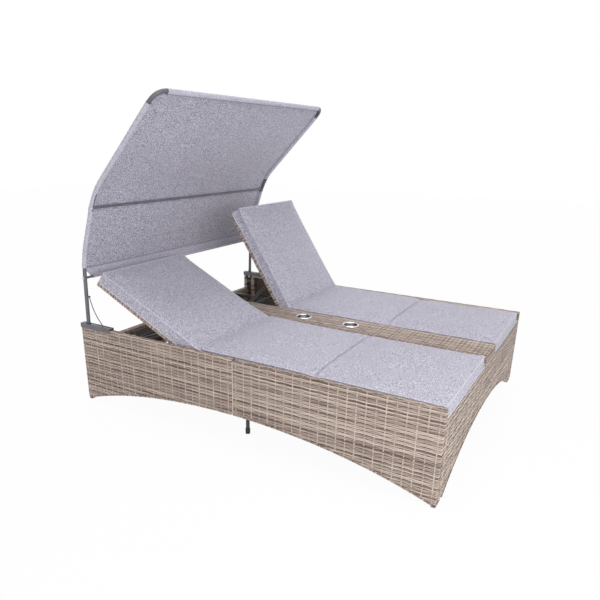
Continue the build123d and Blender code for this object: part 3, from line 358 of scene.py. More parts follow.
class Weave:
    """Collects strands as flat six-sided ribbons and makes one mesh of them."""

    RING_ACROSS = np.array([-1.0, -0.74, 0.74, 1.0, 0.74, -0.74])
    RING_OUT = np.array([0.0, 1.0, 1.0, 0.0, -1.0, -1.0])

    def __init__(self, seed):
        self.rng = np.random.default_rng(seed)
        self.points, self.marks, self.faces = [], [], []
        self.count = 0
        # Rows behind a face have numbers below 0, so the dark ones start well below it
        self.dark_rows = self.rng.integers(3, 7, size=400).cumsum() - 40

    def tone(self, index):
        """Tone of a row: a dark row comes every few rows, the rest are light."""
        return self.rng.uniform(*(DARK_ROW if index in self.dark_rows else LIGHT_ROW))

    def lay(self, line, outward, across, width, along, tone, thick=STRAND_THICK):
        """Lay one strand along a line."""
        count = len(line)
        if count < 2:
            return
        across = np.broadcast_to(across, line.shape)
        ring_a = self.RING_ACROSS * width / 2
        ring_o = self.RING_OUT * thick / 2
        ring = (
            line[:, None, :]
            + across[:, None, :] * ring_a[None, :, None]
            + outward[:, None, :] * ring_o[None, :, None]
        )
        sides = len(self.RING_ACROSS)
        mark = np.empty((count, sides, 3))
        mark[:, :, 0] = np.asarray(along)[:, None]
        mark[:, :, 1] = self.RING_ACROSS[None, :]
        mark[:, :, 2] = tone
        number = np.arange(count)
        self.points.append(ring.reshape(-1, 3))
        self.marks.append(mark.reshape(-1, 3))
        self.faces.append(tube_quads(number[:-1], number[1:], sides) + self.count)
        self.count += count * sides

    def runs(self, line, outward, across, width, along, tone, keep, thick=STRAND_THICK):
        """Lay the parts of a strand where keep is true."""
        edges = np.flatnonzero(np.diff(np.concatenate([[0], keep.astype(int), [0]])))
        for start, stop in zip(edges[::2], edges[1::2]):
            part = slice(start, stop)
            self.lay(line[part], outward[part], across, width, along[part], tone, thick)

    def mesh(self, name, body, node):
        """Make the collected strands one piece, in place of a node of the frame."""
        obj = quad_object(
            name, np.concatenate(self.points), np.concatenate(self.faces), STRAND
        )
        layer = obj.data.attributes.new("strand", "FLOAT_VECTOR", "POINT")
        layer.data.foreach_set("vector", np.concatenate(self.marks).ravel())
        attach(obj, body)
        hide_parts(node)


def quad_object(name, points, faces, material):
    """Object with a smooth mesh of quads."""
    mesh = bpy.data.meshes.new(name)
    mesh.vertices.add(len(points))
    mesh.vertices.foreach_set("co", np.asarray(points, dtype=float).ravel())
    mesh.loops.add(faces.size)
    mesh.loops.foreach_set("vertex_index", faces.ravel().astype(np.int32))
    mesh.polygons.add(len(faces))
    mesh.polygons.foreach_set("loop_start", np.arange(0, faces.size, 4, dtype=np.int32))
    mesh.polygons.foreach_set("use_smooth", np.ones(len(faces), dtype=bool))
    mesh.update(calc_edges=True)
    mesh.materials.append(material)
    obj = bpy.data.objects.new(name, mesh)
    scene.collection.objects.link(obj)
    return obj


def trail(corners, step, anchor=0, anchor_along=0.0):
    """Points, outward normals (to the right of its way) and distances of a rounded path.

    The distances are measured so that the corner numbered anchor is at anchor_along.
    """
    corners = [np.array(c, dtype=float) for c in corners]
    points = [corners[0]]
    shares = (0.0, 0.25, 0.5, 0.75, 1.0)
    for before, corner, after in zip(corners, corners[1:], corners[2:]):
        back, ahead = unit(before - corner), unit(after - corner)
        for share in shares:
            curve = (1 - share) ** 2 * back + share**2 * ahead
            points.append(corner + curve * TURN_RADIUS)
    points.append(corners[-1])
    points = np.array(points)
    total = distances(points)
    zero = total[len(shares) * anchor - 2] if anchor else 0.0
    total = total - zero + anchor_along
    even = np.arange(np.ceil(total[0] / step) * step, total[-1], step)
    along = np.unique(np.round(np.concatenate([even, total]), 6))
    along = along[np.concatenate([[True], np.diff(along) > POINT_GAP])]
    flat = at_distance(along, total, points)
    return flat, right_of(unit(np.gradient(flat, along, axis=0))), along


def bar_turn(low, high, thick):
    """Corners of a strand that comes round the back of a bar, from its high edge to its low."""
    c = SKIN_DEPTH
    return [(high - c, TURN_END), (high - c, thick - c), (low + c, thick - c), (low + c, TURN_END)]


def looped_corners(low, high, bar, loop_low, loop_high):
    """Corners of a strand over a face that turns round its edge bars, and the face's first."""
    before = bar_turn(low, low + bar, bar)[:3] if loop_low else []
    after = bar_turn(high - bar, high, bar)[1:] if loop_high else []
    face = [(low + SKIN_DEPTH, SKIN_DEPTH), (high - SKIN_DEPTH, SKIN_DEPTH)]
    return before + face + after, len(before)


class Face:
    """A flat woven face on square bars, with rows along u and stakes along v.

    to_world maps (u, v, depth) to points and to_dir maps directions. keep(u, v, depth)
    says where strands are laid. loops says which edges have a bar that the strands turn
    round: low u, high u, low v, high v. A shade-backed face has a dark sheet of strands
    behind its rows: painted shade that shows in the gaps between the rows.
    """

    def __init__(self, weave, maps, u_span, v_span, bar, loops, keep, shade_backed=False):
        self.weave, self.bar, self.loops = weave, bar, loops
        self.to_world, self.to_dir = maps
        self.keep, self.shade_backed = keep, shade_backed
        self.u0, self.u1 = u_span
        self.v0, self.v1 = v_span
        self.stakes = round((self.u1 - self.u0) / STAKE)
        self.pitch = (self.u1 - self.u0) / self.stakes
        self.rows = round((self.v1 - self.v0) / ROW)
        self.row = (self.v1 - self.v0) / self.rows
        corners, first = looped_corners(self.u0, self.u1, bar, *loops[:2])
        self.row_trail = trail(corners, self.pitch / 4, first, SKIN_DEPTH)
        corners, first = looped_corners(self.v0, self.v1, bar, *loops[2:])
        self.stake_trail = trail(corners, self.row / 2, first, SKIN_DEPTH)
        self.u_axis, self.v_axis = self.to_dir(1, 0, 0), self.to_dir(0, 1, 0)

    def lay(self, uprights=(), crossbars=()):
        """Lay the rows, the stakes, and the strands round the bars behind the face."""
        along = self.stake_trail[2]
        for r in range(int(np.ceil(along[0] / self.row)), int(np.floor(along[-1] / self.row))):
            tone = self.weave.tone(r)
            if 0 <= r < self.rows:
                self.front_row(r, tone)
            else:
                self.turned_row(r, tone)
        for k in range(self.stakes):
            self.stake(k)
        for centre in uprights:
            self.wrap_upright(centre)
        for centre in crossbars:
            self.wrap_crossbar(centre)

    def front_row(self, r, tone):
        """Row over the face, which turns round the bars at the looped u edges."""
        path, out, along = self.row_trail
        middle = self.v0 + (r + 0.5) * self.row
        v = middle + pair_shift(r)
        flat = path + out * (SWING * over_under(along, self.pitch, r))[:, None]
        line = self.to_world(flat[:, 0], v, flat[:, 1])
        outward = self.to_dir(out[:, 0], 0, out[:, 1])
        good = self.keep(flat[:, 0], v, flat[:, 1])
        self.weave.runs(line, outward, self.v_axis, ROW_WIDTH, along, tone, good)
        # Painted shade: a dark sheet behind the row, so that the gaps between rows look shaded
        if self.shade_backed:
            flat = path - out * SHADE_SHEET_DEPTH
            line = self.to_world(flat[:, 0], middle, flat[:, 1])
            width = SHADE_SHEET_SHARE * self.row
            self.weave.runs(
                line, outward, self.v_axis, width, along, SHADE_SHEET_TONE, good, SHADE_SHEET_THICK
            )

    def turned_row(self, r, tone):
        """Row behind the bar at a looped v edge, where the stakes carry it."""
        path, out, along = self.stake_trail
        middle = (r + 0.5) * self.row + pair_shift(r)
        v, d = at_distance(middle, along, path)
        out_v, out_d = unit(at_distance(middle, along, out))
        u = np.arange(self.u0 + SKIN_DEPTH, self.u1 - SKIN_DEPTH, self.pitch / 4)
        lift = SWING * over_under(u - self.u0, self.pitch, r)
        line = self.to_world(u, v + out_v * lift, d + out_d * lift)
        outward = np.broadcast_to(self.to_dir(0, out_v, out_d), line.shape)
        across = self.to_dir(0, -out_d, out_v)
        good = self.keep(u, np.full_like(u, v), np.full_like(u, d))
        self.weave.runs(line, outward, across, ROW_WIDTH, u, tone, good)

    def stake(self, k):
        path, out, along = self.stake_trail
        u = self.u0 + (k + 0.5) * self.pitch
        flat = path - out * (SWING * over_under(along, self.row, k))[:, None]
        line = self.to_world(u, flat[:, 0], flat[:, 1])
        outward = self.to_dir(0, out[:, 0], out[:, 1])
        good = self.keep(np.full(len(flat), u), flat[:, 0], flat[:, 1])
        tone = self.weave.rng.uniform(*FACE_STAKE)
        self.weave.runs(line, outward, self.u_axis, STAKE_WIDTH, along, tone, good)

    def bar_trail(self, centre):
        corners = bar_turn(centre - self.bar / 2, centre + self.bar / 2, self.bar)
        return trail(corners, self.pitch / 4)

    def wrap_upright(self, centre):
        """Strands round the back of a bar that stands behind the face."""
        path, out, along = self.bar_trail(centre)
        outward = self.to_dir(out[:, 0], 0, out[:, 1])
        for r in range(self.rows):
            v = self.v0 + (r + 0.5) * self.row
            if v > self.v1 - self.bar or (self.loops[2] and v < self.v0 + self.bar):
                continue
            line = self.to_world(path[:, 0], v, path[:, 1])
            good = self.keep(path[:, 0], v - self.bar, path[:, 1])
            tone = self.weave.tone(r)
            self.weave.runs(line, outward, self.v_axis, ROW_WIDTH, along, tone, good)

    def wrap_crossbar(self, centre):
        """Strands round the back of a bar that crosses behind the face."""
        path, out, along = self.bar_trail(centre)
        outward = self.to_dir(0, out[:, 0], out[:, 1])
        for u in np.arange(self.u0 + self.bar + ROW / 2, self.u1 - self.bar, ROW):
            line = self.to_world(u, path[:, 0], path[:, 1])
            tone = self.weave.tone(0)
            self.weave.lay(line, outward, self.u_axis, ROW_WIDTH, along, tone)


def arch_curve(arch):
    """Points of an arch, from its low end at -u to the one at +u."""
    half_span, reach_share, rise = arch
    t = np.linspace(0, 1, 401)
    reach = half_span * reach_share
    crest = (rise - GLIDE) / ARCH_CREST_SHARE
    u = -half_span * (1 - t) ** 3 - reach * 3 * t * (1 - t) ** 2 + reach * 3 * t**2 * (1 - t)
    u = u + half_span * t**3
    return u, GLIDE + crest * 3 * t * (1 - t)


def arch_height(arch, u):
    """Height of an arch over the floor at u, 0 beyond its ends."""
    place, height = arch_curve(arch)
    return np.interp(u, place, height, left=0.0, right=0.0)


def over_arch(arch, u, v, d):
    """Whether a panel's strand is over the arch and, behind the front, over its bar."""
    return v > arch_height(arch, u) + EDGE_GAP + (d > FRONT_DEPTH) * (PANEL - TURN_END)


def wrap_arch(weave, maps, arch, low, high):
    """Strands wound round the bar along an arch, between low and high."""
    to_world, to_dir = maps
    place, height = arch_curve(arch)
    inside = (place >= low) & (place <= high)
    points = np.stack([place[inside], height[inside]], axis=1)
    distance = distances(points)
    low_edge, high_edge = 0.001, PANEL - SKIN_DEPTH
    corners = [(high_edge, TURN_END), (high_edge, high_edge), (low_edge, high_edge),
               (low_edge, -WRAP_RISE), (WRAP_LAP, -WRAP_RISE)]
    path, out, along = trail(corners, WRAP_STEP)
    for at in np.arange(ROW / 2, distance[-1], WRAP_PITCH):
        u, v = at_distance(at, distance, points)
        ahead, behind = (at_distance(at + gap, distance, points) for gap in (0.002, -0.002))
        run = unit(ahead - behind)
        rise = np.array([-run[1], run[0]])
        line = to_world(u + path[:, 0] * rise[0], v + path[:, 0] * rise[1], path[:, 1])
        outward = to_dir(out[:, 0] * rise[0], out[:, 0] * rise[1], out[:, 1])
        tone = weave.rng.uniform(*WRAP)
        weave.lay(line, outward, to_dir(run[0], run[1], 0), ROW_WIDTH, along, tone)


def everywhere(u, v, d):
    return np.ones(np.broadcast(u, v, d).shape, dtype=bool)


# Side panels and end walls
def panel_maps(along_y, sign, reach):
    """Maps for an upright panel: u along it, v up it, depth in from its outer face."""
    def placed(u, v, out):
        return world_point(sign * out, u, v) if along_y else world_point(u, sign * out, v)

    return (lambda u, v, d: placed(u, v, reach - d)), (lambda u, v, d: placed(u, v, 0.0 - d))


def side_keep(u, v, d):
    pocket = (u > POCKET[0]) & (u < POCKET[1]) & (v > SIDE_HEIGHT - POCKET_DEPTH)
    return over_arch(SIDE_ARCH, u, v, d) & ~(pocket & (d > FRONT_DEPTH))


def wall_keep(u, v, d):
    return over_arch(END_ARCH, u, v, d)


def lay_seam(weave, maps):
    """Light strand that covers the joint between the two halves of a side."""
    to_world, to_dir = maps
    v = np.arange(arch_height(SIDE_ARCH, 0) + SEAM_INSET, SIDE_HEIGHT - SEAM_INSET, ROW)
    line = to_world(SEAM_STRAND, v, -SEAM_RISE)
    outward = np.broadcast_to(to_dir(0, 0, -1), line.shape)
    weave.lay(line, outward, to_dir(1, 0, 0), STAKE_WIDTH, v, SEAM_TONE)


PANEL_LOOPS = (True, True, False, True)
for side_name, side in SIDES:
    maps = panel_maps(True, side, HALF_WIDTH)
    for end_name, low, high in HALVES:
        weave = Weave(11 + 2 * side + (end_name == "head"))
        face = Face(
            weave, maps, (low, high), (GLIDE, SIDE_HEIGHT), PANEL, PANEL_LOOPS, side_keep, True
        )
        face.lay(SIDE_UPRIGHTS[end_name])
        wrap_arch(weave, maps, SIDE_ARCH, low, high)
        if end_name == "foot":
            lay_seam(weave, maps)
        name = f"{side_name}_{end_name}"
        weave.mesh(f"woven_side_{name}", "frame", f"side_weave_{name}")

for end_name, end in ENDS:
    maps = panel_maps(False, end, HALF_LENGTH)
    top = DECK_TOP if end_name == "foot" else HEAD_WALL_HEIGHT
    for side_name, side in SIDES:
        weave = Weave(31 + 2 * side + end)
        low, high = sorted((side * WALL_NEAR, side * PANEL_INSIDE))
        face = Face(weave, maps, (low, high), (GLIDE, top), PANEL, PANEL_LOOPS, wall_keep, True)
        face.lay((side * BAY_CENTRE,))
        wrap_arch(weave, maps, END_ARCH, low, high)
        weave.mesh(
            f"woven_wall_{end_name}_{side_name}", "frame", f"{end_name}_wall_weave_{side_name}"
        )


# Console: rows along it, stakes across it and down its sides, woven end faces
def off_cups(x, y, z):
    clear = everywhere(x, y, z)
    for cup_place in CUP_PLACES:
        near = np.hypot(x, y - cup_place) < CUP_CLEAR
        clear &= ~(near & (z > SIDE_HEIGHT - CUP_RIM_DEPTH))
    return clear


def weave_console():
    weave = Weave(51)
    half, top = HALF_CONSOLE - SKIN_DEPTH, SIDE_HEIGHT - SKIN_DEPTH
    corners = [(half, CONSOLE_LOW), (half, top), (-half, top), (-half, CONSOLE_LOW)]
    path, out, along = trail(corners, ROW / 2)
    outward = world_point(out[:, 0], 0, out[:, 1])
    lengthwise = np.array([0.0, 1.0, 0.0])
    for k in range(round(2 * HALF_LENGTH / STAKE)):
        y = -HALF_LENGTH + (k + 0.5) * STAKE
        flat = path - out * (SWING * over_under(along, ROW, k))[:, None]
        line = world_point(flat[:, 0], y, flat[:, 1])
        good = off_cups(flat[:, 0], y, flat[:, 1])
        tone = weave.rng.uniform(*CONSOLE_STAKE)
        weave.runs(line, outward, lengthwise, STAKE_WIDTH, along, tone, good)
    for r in range(int(along[-1] / ROW)):
        middle = (r + 0.5) * ROW + pair_shift(r)
        x, z = at_distance(middle, along, path)
        out_x, out_z = unit(at_distance(middle, along, out))
        y = np.arange(-HALF_LENGTH + SKIN_DEPTH, HALF_LENGTH - SKIN_DEPTH, STAKE / 6)
        lift = SWING * over_under(y + HALF_LENGTH, STAKE, r)
        line = world_point(x + out_x * lift, y, z + out_z * lift)
        row_out = np.broadcast_to(np.array([out_x, 0.0, out_z]), line.shape)
        across = np.array([-out_z, 0.0, out_x])
        good = off_cups(x, y, z)
        weave.runs(line, row_out, across, ROW_WIDTH, y, weave.tone(r), good)
    weave.mesh("woven_console", "frame", "console_weave")


def cap_keep(u, v, d):
    return (v > arch_height(END_ARCH, u) + EDGE_GAP) & ((d < CAP_TURN) | (v < CONSOLE_LOW))


weave_console()
for end_name, end in ENDS:
    weave = Weave(57 + end)
    maps = panel_maps(False, end, HALF_LENGTH)
    low, high = -HALF_CONSOLE, HALF_CONSOLE
    loops = (True, True, False, False)
    Face(weave, maps, (low, high), (CAP_LOW, SIDE_HEIGHT), PANEL, loops, cap_keep, True).lay()
    wrap_arch(weave, maps, END_ARCH, low, high)
    weave.mesh(f"woven_console_{end_name}", "frame", "console_weave")


# Decks and backs
def bay_axes(side, recline):
    """A bay's hinge point and the directions up and out of what leans there."""
    turn = radians(recline)
    origin = np.array([side * BAY_CENTRE, *HINGE])
    up = np.array([0.0, cos(turn), sin(turn)])
    out_dir = np.array([0.0, -sin(turn), cos(turn)])
    return origin, up, out_dir


def sling_maps(side, recline):
    """Maps for a sling: u across the bay, v up along it, depth below its front."""
    origin, up, out_dir = bay_axes(side, recline)
    across = np.array([1.0, 0.0, 0.0])

    def to_dir(u, v, d):
        u, v, d = (np.asarray(w, dtype=float)[..., None] for w in np.broadcast_arrays(u, v, d))
        return u * across + v * up - d * out_dir

    def to_world(u, v, d):
        return origin + out_dir * SLING / 2 + to_dir(u, v, d)

    return to_world, to_dir


def weave_sling(seed, maps, span, bars, name, body, node):
    weave = Weave(seed)
    width, loops = (-SLING_HALF, SLING_HALF), (True, True, True, True)
    Face(weave, maps, width, span, SLING, loops, everywhere).lay(crossbars=bars)
    weave.mesh(name, body, node)


for side_name, side in SIDES:
    weave_sling(
        71 + side, sling_maps(side, 0), [place - HINGE[0] for place in DECK_SPAN],
        [place - HINGE[0] for place in DECK_BARS],
        f"woven_deck_{side_name}", "frame", f"seat_deck_weave_{side_name}",
    )
    weave_sling(
        81 + side, sling_maps(side, RECLINE[side_name]), BACK_SPAN, BACK_BARS,
        f"woven_back_{side_name}", f"backrest_{side_name}", f"backrest_weave_{side_name}",
    )


# Cushions, measured up and out from the hinge point
CUSHION_HALF = 0.327
VOXEL = 0.008
PUFF_LIMIT = 0.009
PUFF_FRAMES = 20
HELD_BASE = 0.006
SEAT_HELD = -0.06
BACK_HELD = 0.05
CLOTH = {
    "quality": 4, "mass": 0.2, "tension_stiffness": 12, "compression_stiffness": 12,
    "shear_stiffness": 4, "bending_stiffness": 0.4, "use_pressure": True,
    "uniform_pressure_force": 4, "vertex_group_mass": "held",
}
FOLD = -0.41 - HINGE[0]
FOLD_DEPTH = 0.0115
FOLD_WIDTH = 0.006
RIDGE_RISE = 0.0028
RIDGE_PLACE = 0.015
RIDGE_WIDTH = 0.008
FOLD_HEIGHTS = (0.03, 0.07)
UNEVEN = 0.0012
TOP_START = 0.0603
SIDE_START = 0.0203
PUCKER = 0.0018
PUCKER_PITCH = 0.034
PUCKER_REACH = 0.03
STRETCH = {"left": 0.012, "right": 0.032}
STRETCH_LENGTH = 0.68
SKIRT = 0.010
SKIRT_HALF = 0.3326
SKIRT_SIDES = (0.318, 0.328)
SKIRT_END = (0.672, 0.684)
SKIRT_HEIGHTS = (0.040, 0.012)
SKIRT_START = 0.1
FRONT_START = 0.06
FRONT_SEAM = 0.0713
SEAT_BASE_SEAM = 0.0183
SEAT_HINGE_SEAM = -0.075
BACK_BASE_SEAM = 0.0113
BACK_HINGE_SEAM = 0.012
PIPING_HALF = 0.330
PIPING_RADIUS = 0.0032
PIPING_SIDES = 8
PIPING_RISE = 0.0008
PIPING_CORNER = 0.022
PIPING_STEP = 0.008


def points_of(mesh):
    flat = np.empty(len(mesh.vertices) * 3)
    mesh.vertices.foreach_get("co", flat)
    return flat.reshape(-1, 3)


def applied(obj):
    """Give obj the mesh that its modifiers make."""
    graph = bpy.context.evaluated_depsgraph_get()
    mesh = bpy.data.meshes.new_from_object(obj.evaluated_get(graph))
    obj.modifiers.clear()
    obj.data = mesh


def wave_noise(points, scale, seed):
    """Smooth noise from a few turned waves, about -1 to 1."""
    rng = np.random.default_rng(seed)
    total = np.zeros(len(points))
    for _ in range(7):
        way = unit(rng.normal(size=3)) * scale * rng.uniform(0.6, 1.6)
        total += np.sin(points @ way + rng.uniform(0, 2 * pi))
    return total / 3.2


class Pad:
    """One cushion, with its bay's hinge point and its own directions up and out."""

    def __init__(self, kind, side_name, side):
        self.kind, self.side_name, self.side = kind, side_name, side
        self.seat = kind == "seat"
        self.body = "frame" if self.seat else f"backrest_{side_name}"
        self.origin, self.up, self.out_dir = bay_axes(
            side, 0 if self.seat else RECLINE[side_name]
        )
        self.node = f"{kind}_cushion_{side_name}"
        solid = frame["nodes"][self.node]
        self.obj = bpy.data.objects.new(f"{kind}_pad_{side_name}", solid.data.copy())
        scene.collection.objects.link(self.obj)
        remesh = self.obj.modifiers.new("remesh", "REMESH")
        remesh.mode = "VOXEL"
        remesh.voxel_size = VOXEL
        applied(self.obj)
        self.rest = points_of(self.obj.data)

    def local(self, points):
        """Distances of points across, up and out from the hinge point."""
        gap = points - self.origin
        return gap[:, 0], gap @ self.up, gap @ self.out_dir

    def start_puffing(self):
        """Add the cloth that air pressure swells, held at its base and near the hinge."""
        _, reach, height = self.local(self.rest)
        fixed = height < height.min() + HELD_BASE
        fixed |= reach > SEAT_HELD if self.seat else reach < BACK_HELD
        held = self.obj.vertex_groups.new(name="held")
        held.add(np.flatnonzero(fixed).tolist(), 1.0, "REPLACE")
        cloth = self.obj.modifiers.new("cloth", "CLOTH")
        for key, value in CLOTH.items():
            setattr(cloth.settings, key, value)
        cloth.settings.effector_weights.gravity = 0
        cloth.collision_settings.use_collision = False

    def keep_puffed(self):
        """Take the swollen shape, with no point moved further than a limit."""
        applied(self.obj)
        self.obj.vertex_groups.clear()
        shift = points_of(self.obj.data) - self.rest
        length = np.linalg.norm(shift, axis=1, keepdims=True)
        shift *= PUFF_LIMIT * np.tanh(length / PUFF_LIMIT) / np.maximum(length, 1e-9)
        self.obj.data.vertices.foreach_set("co", (self.rest + shift).ravel())

    def shape(self):
        """Sew a seat's fold, stretch a back's cover over its sling, and pucker the sides."""
        smooth = self.obj.modifiers.new("smooth", "SUBSURF")
        smooth.levels = smooth.render_levels = 1
        applied(self.obj)
        mesh = self.obj.data
        points = points_of(mesh)
        across, reach, height = self.local(points)
        outward = np.sign(across)
        top = height > TOP_START
        side_face = (height > SIDE_START) & ~top
        rise = UNEVEN * top * wave_noise(points, 9.0, 5 + self.side)
        turns = 2 * pi * reach / PUCKER_PITCH + 3 * wave_noise(points, 14, 3)
        edge = ramp(np.abs(across), CUSHION_HALF - PUCKER_REACH, CUSHION_HALF)
        if self.seat:
            groove = FOLD_DEPTH * np.exp(-(((reach - FOLD) / FOLD_WIDTH) ** 2))
            beside = (np.abs(reach - FOLD) - RIDGE_PLACE) / RIDGE_WIDTH
            groove -= RIDGE_RISE * np.exp(-(beside**2))
            rise -= groove * ramp(height, *FOLD_HEIGHTS)
        else:
            stretch = STRETCH[self.side_name] * ramp(reach, 0, STRETCH_LENGTH)
            points = points + self.up * stretch[:, None]
            outer = ramp(np.abs(across), *SKIRT_SIDES)
            end = ramp(reach, *SKIRT_END)
            low = ramp(height, *SKIRT_HEIGHTS) * ramp(reach, 0, SKIRT_START)
            rise -= SKIRT * low * np.maximum(outer, end)
            points[:, 0] += outward * outer * low * np.maximum(SKIRT_HALF - np.abs(across), 0)
        points = points + self.out_dir * rise[:, None]
        points[:, 0] += outward * PUCKER * side_face * np.sin(turns) * edge
        mesh.vertices.foreach_set("co", points.ravel())
        mesh.materials.clear()
        mesh.materials.append(CUSHION)
        mesh.polygons.foreach_set("use_smooth", np.ones(len(mesh.polygons), dtype=bool))
        mesh.update()
        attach(self.obj, self.body)
        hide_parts(self.node)
        self.points, self.front = points, height > FRONT_START

    def lay_piping(self):
        """Piping round the front and the base, laid on the puffed cover."""
        tree = BVHTree.FromPolygons(
            [Vector(p) for p in self.points],
            [tuple(face.vertices) for face in self.obj.data.polygons],
        )
        reach = self.local(self.points)[1]
        if self.seat:
            low, high = reach.min(), reach[self.front].max()
            seams = ((FRONT_SEAM, low, high), (SEAT_BASE_SEAM, low, SEAT_HINGE_SEAM))
        else:
            low, high = reach[self.front].min() + BACK_HINGE_SEAM, reach.max()
            seams = ((FRONT_SEAM, low, high), (BACK_BASE_SEAM, BACK_HINGE_SEAM, high))
        paths = []
        for height, low, high in seams:
            x, y = ring_path(PIPING_HALF, low, high, PIPING_CORNER).T
            ring = self.origin + world_point(x, 0, 0) + y[:, None] * self.up
            found = [tree.find_nearest(Vector(p)) for p in ring + self.out_dir * height]
            spots, normals = (np.array([hit[i] for hit in found]) for i in (0, 1))
            for _ in range(3):
                spots, normals = evened(spots, 2), evened(normals, 1)
            normals = unit(normals)
            paths.append((spots + normals * PIPING_RISE, normals))
        tubes = [tube(*path, PIPING_RADIUS, PIPING_SIDES, closed=True) for path in paths]
        piping = quad_object(f"{self.kind}_piping_{self.side_name}", *joined(tubes), PIPING)
        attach(piping, self.body)


def evened(values, weight):
    """Values along a ring, each mixed with its two neighbours."""
    before, after = np.roll(values, 1, axis=0), np.roll(values, -1, axis=0)
    return (before + weight * values + after) / (2 + weight)


def ring_path(half, low, high, corner):
    """Rounded rectangle of (across, reach) points, without its first point again."""
    points = []
    for x, y, start in (
        (half - corner, high - corner, 0), (-half + corner, high - corner, 90),
        (-half + corner, low + corner, 180), (half - corner, low + corner, 270),
    ):
        for share in np.linspace(0, 1, 7):
            angle = radians(start + 90 * share)
            points.append(np.array([x + corner * cos(angle), y + corner * sin(angle)]))
    dense = []
    for a, b in zip(points, points[1:] + points[:1]):
        count = max(1, int(np.linalg.norm(b - a) / PIPING_STEP))
        dense += [a + (b - a) * i / count for i in range(count)]
    return np.array(dense)


def tube(path, outward, radius, sides, closed=False):
    """Points and quads of a tube along a path, with its first side facing outward."""
    number = np.arange(len(path))
    if closed:
        run = unit(np.roll(path, -1, axis=0) - np.roll(path, 1, axis=0))
        starts, ends = number, np.roll(number, -1)
    else:
        run = unit(np.gradient(path, axis=0))
        starts, ends = number[:-1], number[1:]
    first = unit(outward - (outward * run).sum(1, keepdims=True) * run)
    second = np.cross(run, first)
    angle = (np.arange(sides) * 2 * pi / sides)[None, :, None]
    ring = np.cos(angle) * first[:, None, :] + np.sin(angle) * second[:, None, :]
    points = path[:, None, :] + np.reshape(radius, (-1, 1, 1)) * ring
    return points.reshape(-1, 3), tube_quads(starts, ends, sides)


def joined(meshes):
    """Points and faces of several meshes as one."""
    starts = np.cumsum([0] + [len(points) for points, _ in meshes])
    faces = [quads + start for (_, quads), start in zip(meshes, starts)]
    return np.concatenate([points for points, _ in meshes]), np.concatenate(faces)


pads = [Pad(kind, side_name, side) for side_name, side in SIDES for kind in ("seat", "back")]
for pad in pads:
    pad.start_puffing()
for number in range(1, PUFF_FRAMES + 1):
    scene.frame_set(number)
for pad in pads:
    pad.keep_puffed()
    pad.shape()
    pad.lay_piping()


# Canopy: one sheet on the tubes' path, and sleeves round the tubes
def tube_path(offset, step):
    """Points, outward normals and distances along a side tube, moved out by offset."""
    corners = [np.array(corner) for corner in TUBE_CORNERS]
    points = [corners[0]]
    for before, corner, after, radius in zip(corners, corners[1:], corners[2:], TUBE_RADII):
        back, ahead = unit(before - corner), unit(after - corner)
        half = np.arccos(np.clip(-(back @ ahead), -1, 1)) / 2
        cut = radius * tan(half)
        centre = corner + unit(back + ahead) * radius / cos(half)
        first, last = corner + back * cut - centre, corner + ahead * cut - centre
        for share in np.linspace(0, 1, 40):
            points.append(centre + unit(first * (1 - share) + last * share) * radius)
    points.append(corners[-1])
    points = np.array(points)
    total = distances(points)
    begin = np.interp(BOTTOM_BAR, points[:, 1], total)
    count = int((total[-1] - begin) / step)
    along = np.linspace(begin, total[-1], count + 1)
    flat = at_distance(along, total, points)
    normal = right_of(unit(np.gradient(flat, along, axis=0)))
    return flat + normal * offset, normal, along - begin


SHEET_LINE, SHEET_NORMAL, SHEET_ALONG = tube_path(FABRIC_OFFSET, step=0.008)
SHEET_LENGTH = SHEET_ALONG[-1]
SHEET_COLUMNS = 161
LOW_SAG = 0.006
HIGH_SAG = 0.016
RIPPLE = 0.0012
FINE_RIPPLE = 0.0005
GATHER = 0.0014
GATHER_PITCH = 0.052
GATHER_REACH = 0.09
TAPER_ENDS = 0.03
TAPER_SIDES = 0.02


def sheet_half_widths():
    """Half width at each distance along: narrower at the hem, round at the hoop's corners."""
    hem_along = np.interp(HEM_HEIGHT, SHEET_LINE[:, 1], SHEET_ALONG)
    narrow = HEM_HALF + (POST_LINE - HEM_HALF) * SHEET_ALONG / hem_along
    from_corner = HOOP_CORNER - np.minimum(SHEET_LENGTH - SHEET_ALONG, HOOP_CORNER)
    inset = HOOP_CORNER - np.sqrt(np.maximum(0, HOOP_CORNER**2 - from_corner**2))
    return np.where(from_corner > 0, POST_LINE - inset, np.minimum(POST_LINE, narrow))


def sheet_depth(x, share):
    """How far the cloth lies out from the path: it sags between the bars and ripples."""
    along, length = SHEET_ALONG, SHEET_LENGTH
    mid_along = np.interp(MID_BAR, SHEET_LINE[:, 1], along)
    sag = LOW_SAG * np.sin(pi * ramp(along, 0, mid_along))
    sag += HIGH_SAG * np.sin(pi * ramp(along, mid_along, length))
    place = world_point(along[:, None], share * POST_LINE, 0).reshape(-1, 3)
    ripple = RIPPLE * wave_noise(place, 11.0, 8) + FINE_RIPPLE * wave_noise(place, 46.0, 9)
    from_side = POST_LINE - np.abs(x)
    gather = ramp(from_side, GATHER_REACH, 0) * (length - along >= HOOP_CORNER)[:, None]
    gather = GATHER * gather * np.sin(2 * pi * along / GATHER_PITCH)[:, None]
    taper = np.minimum(1, np.minimum(along, length - along) / TAPER_ENDS)[:, None]
    taper = taper * np.minimum(1, from_side / TAPER_SIDES + 0.1)
    return (ripple.reshape(x.shape) + gather) * taper - sag[:, None] * (1 - (x / POST_LINE) ** 2)


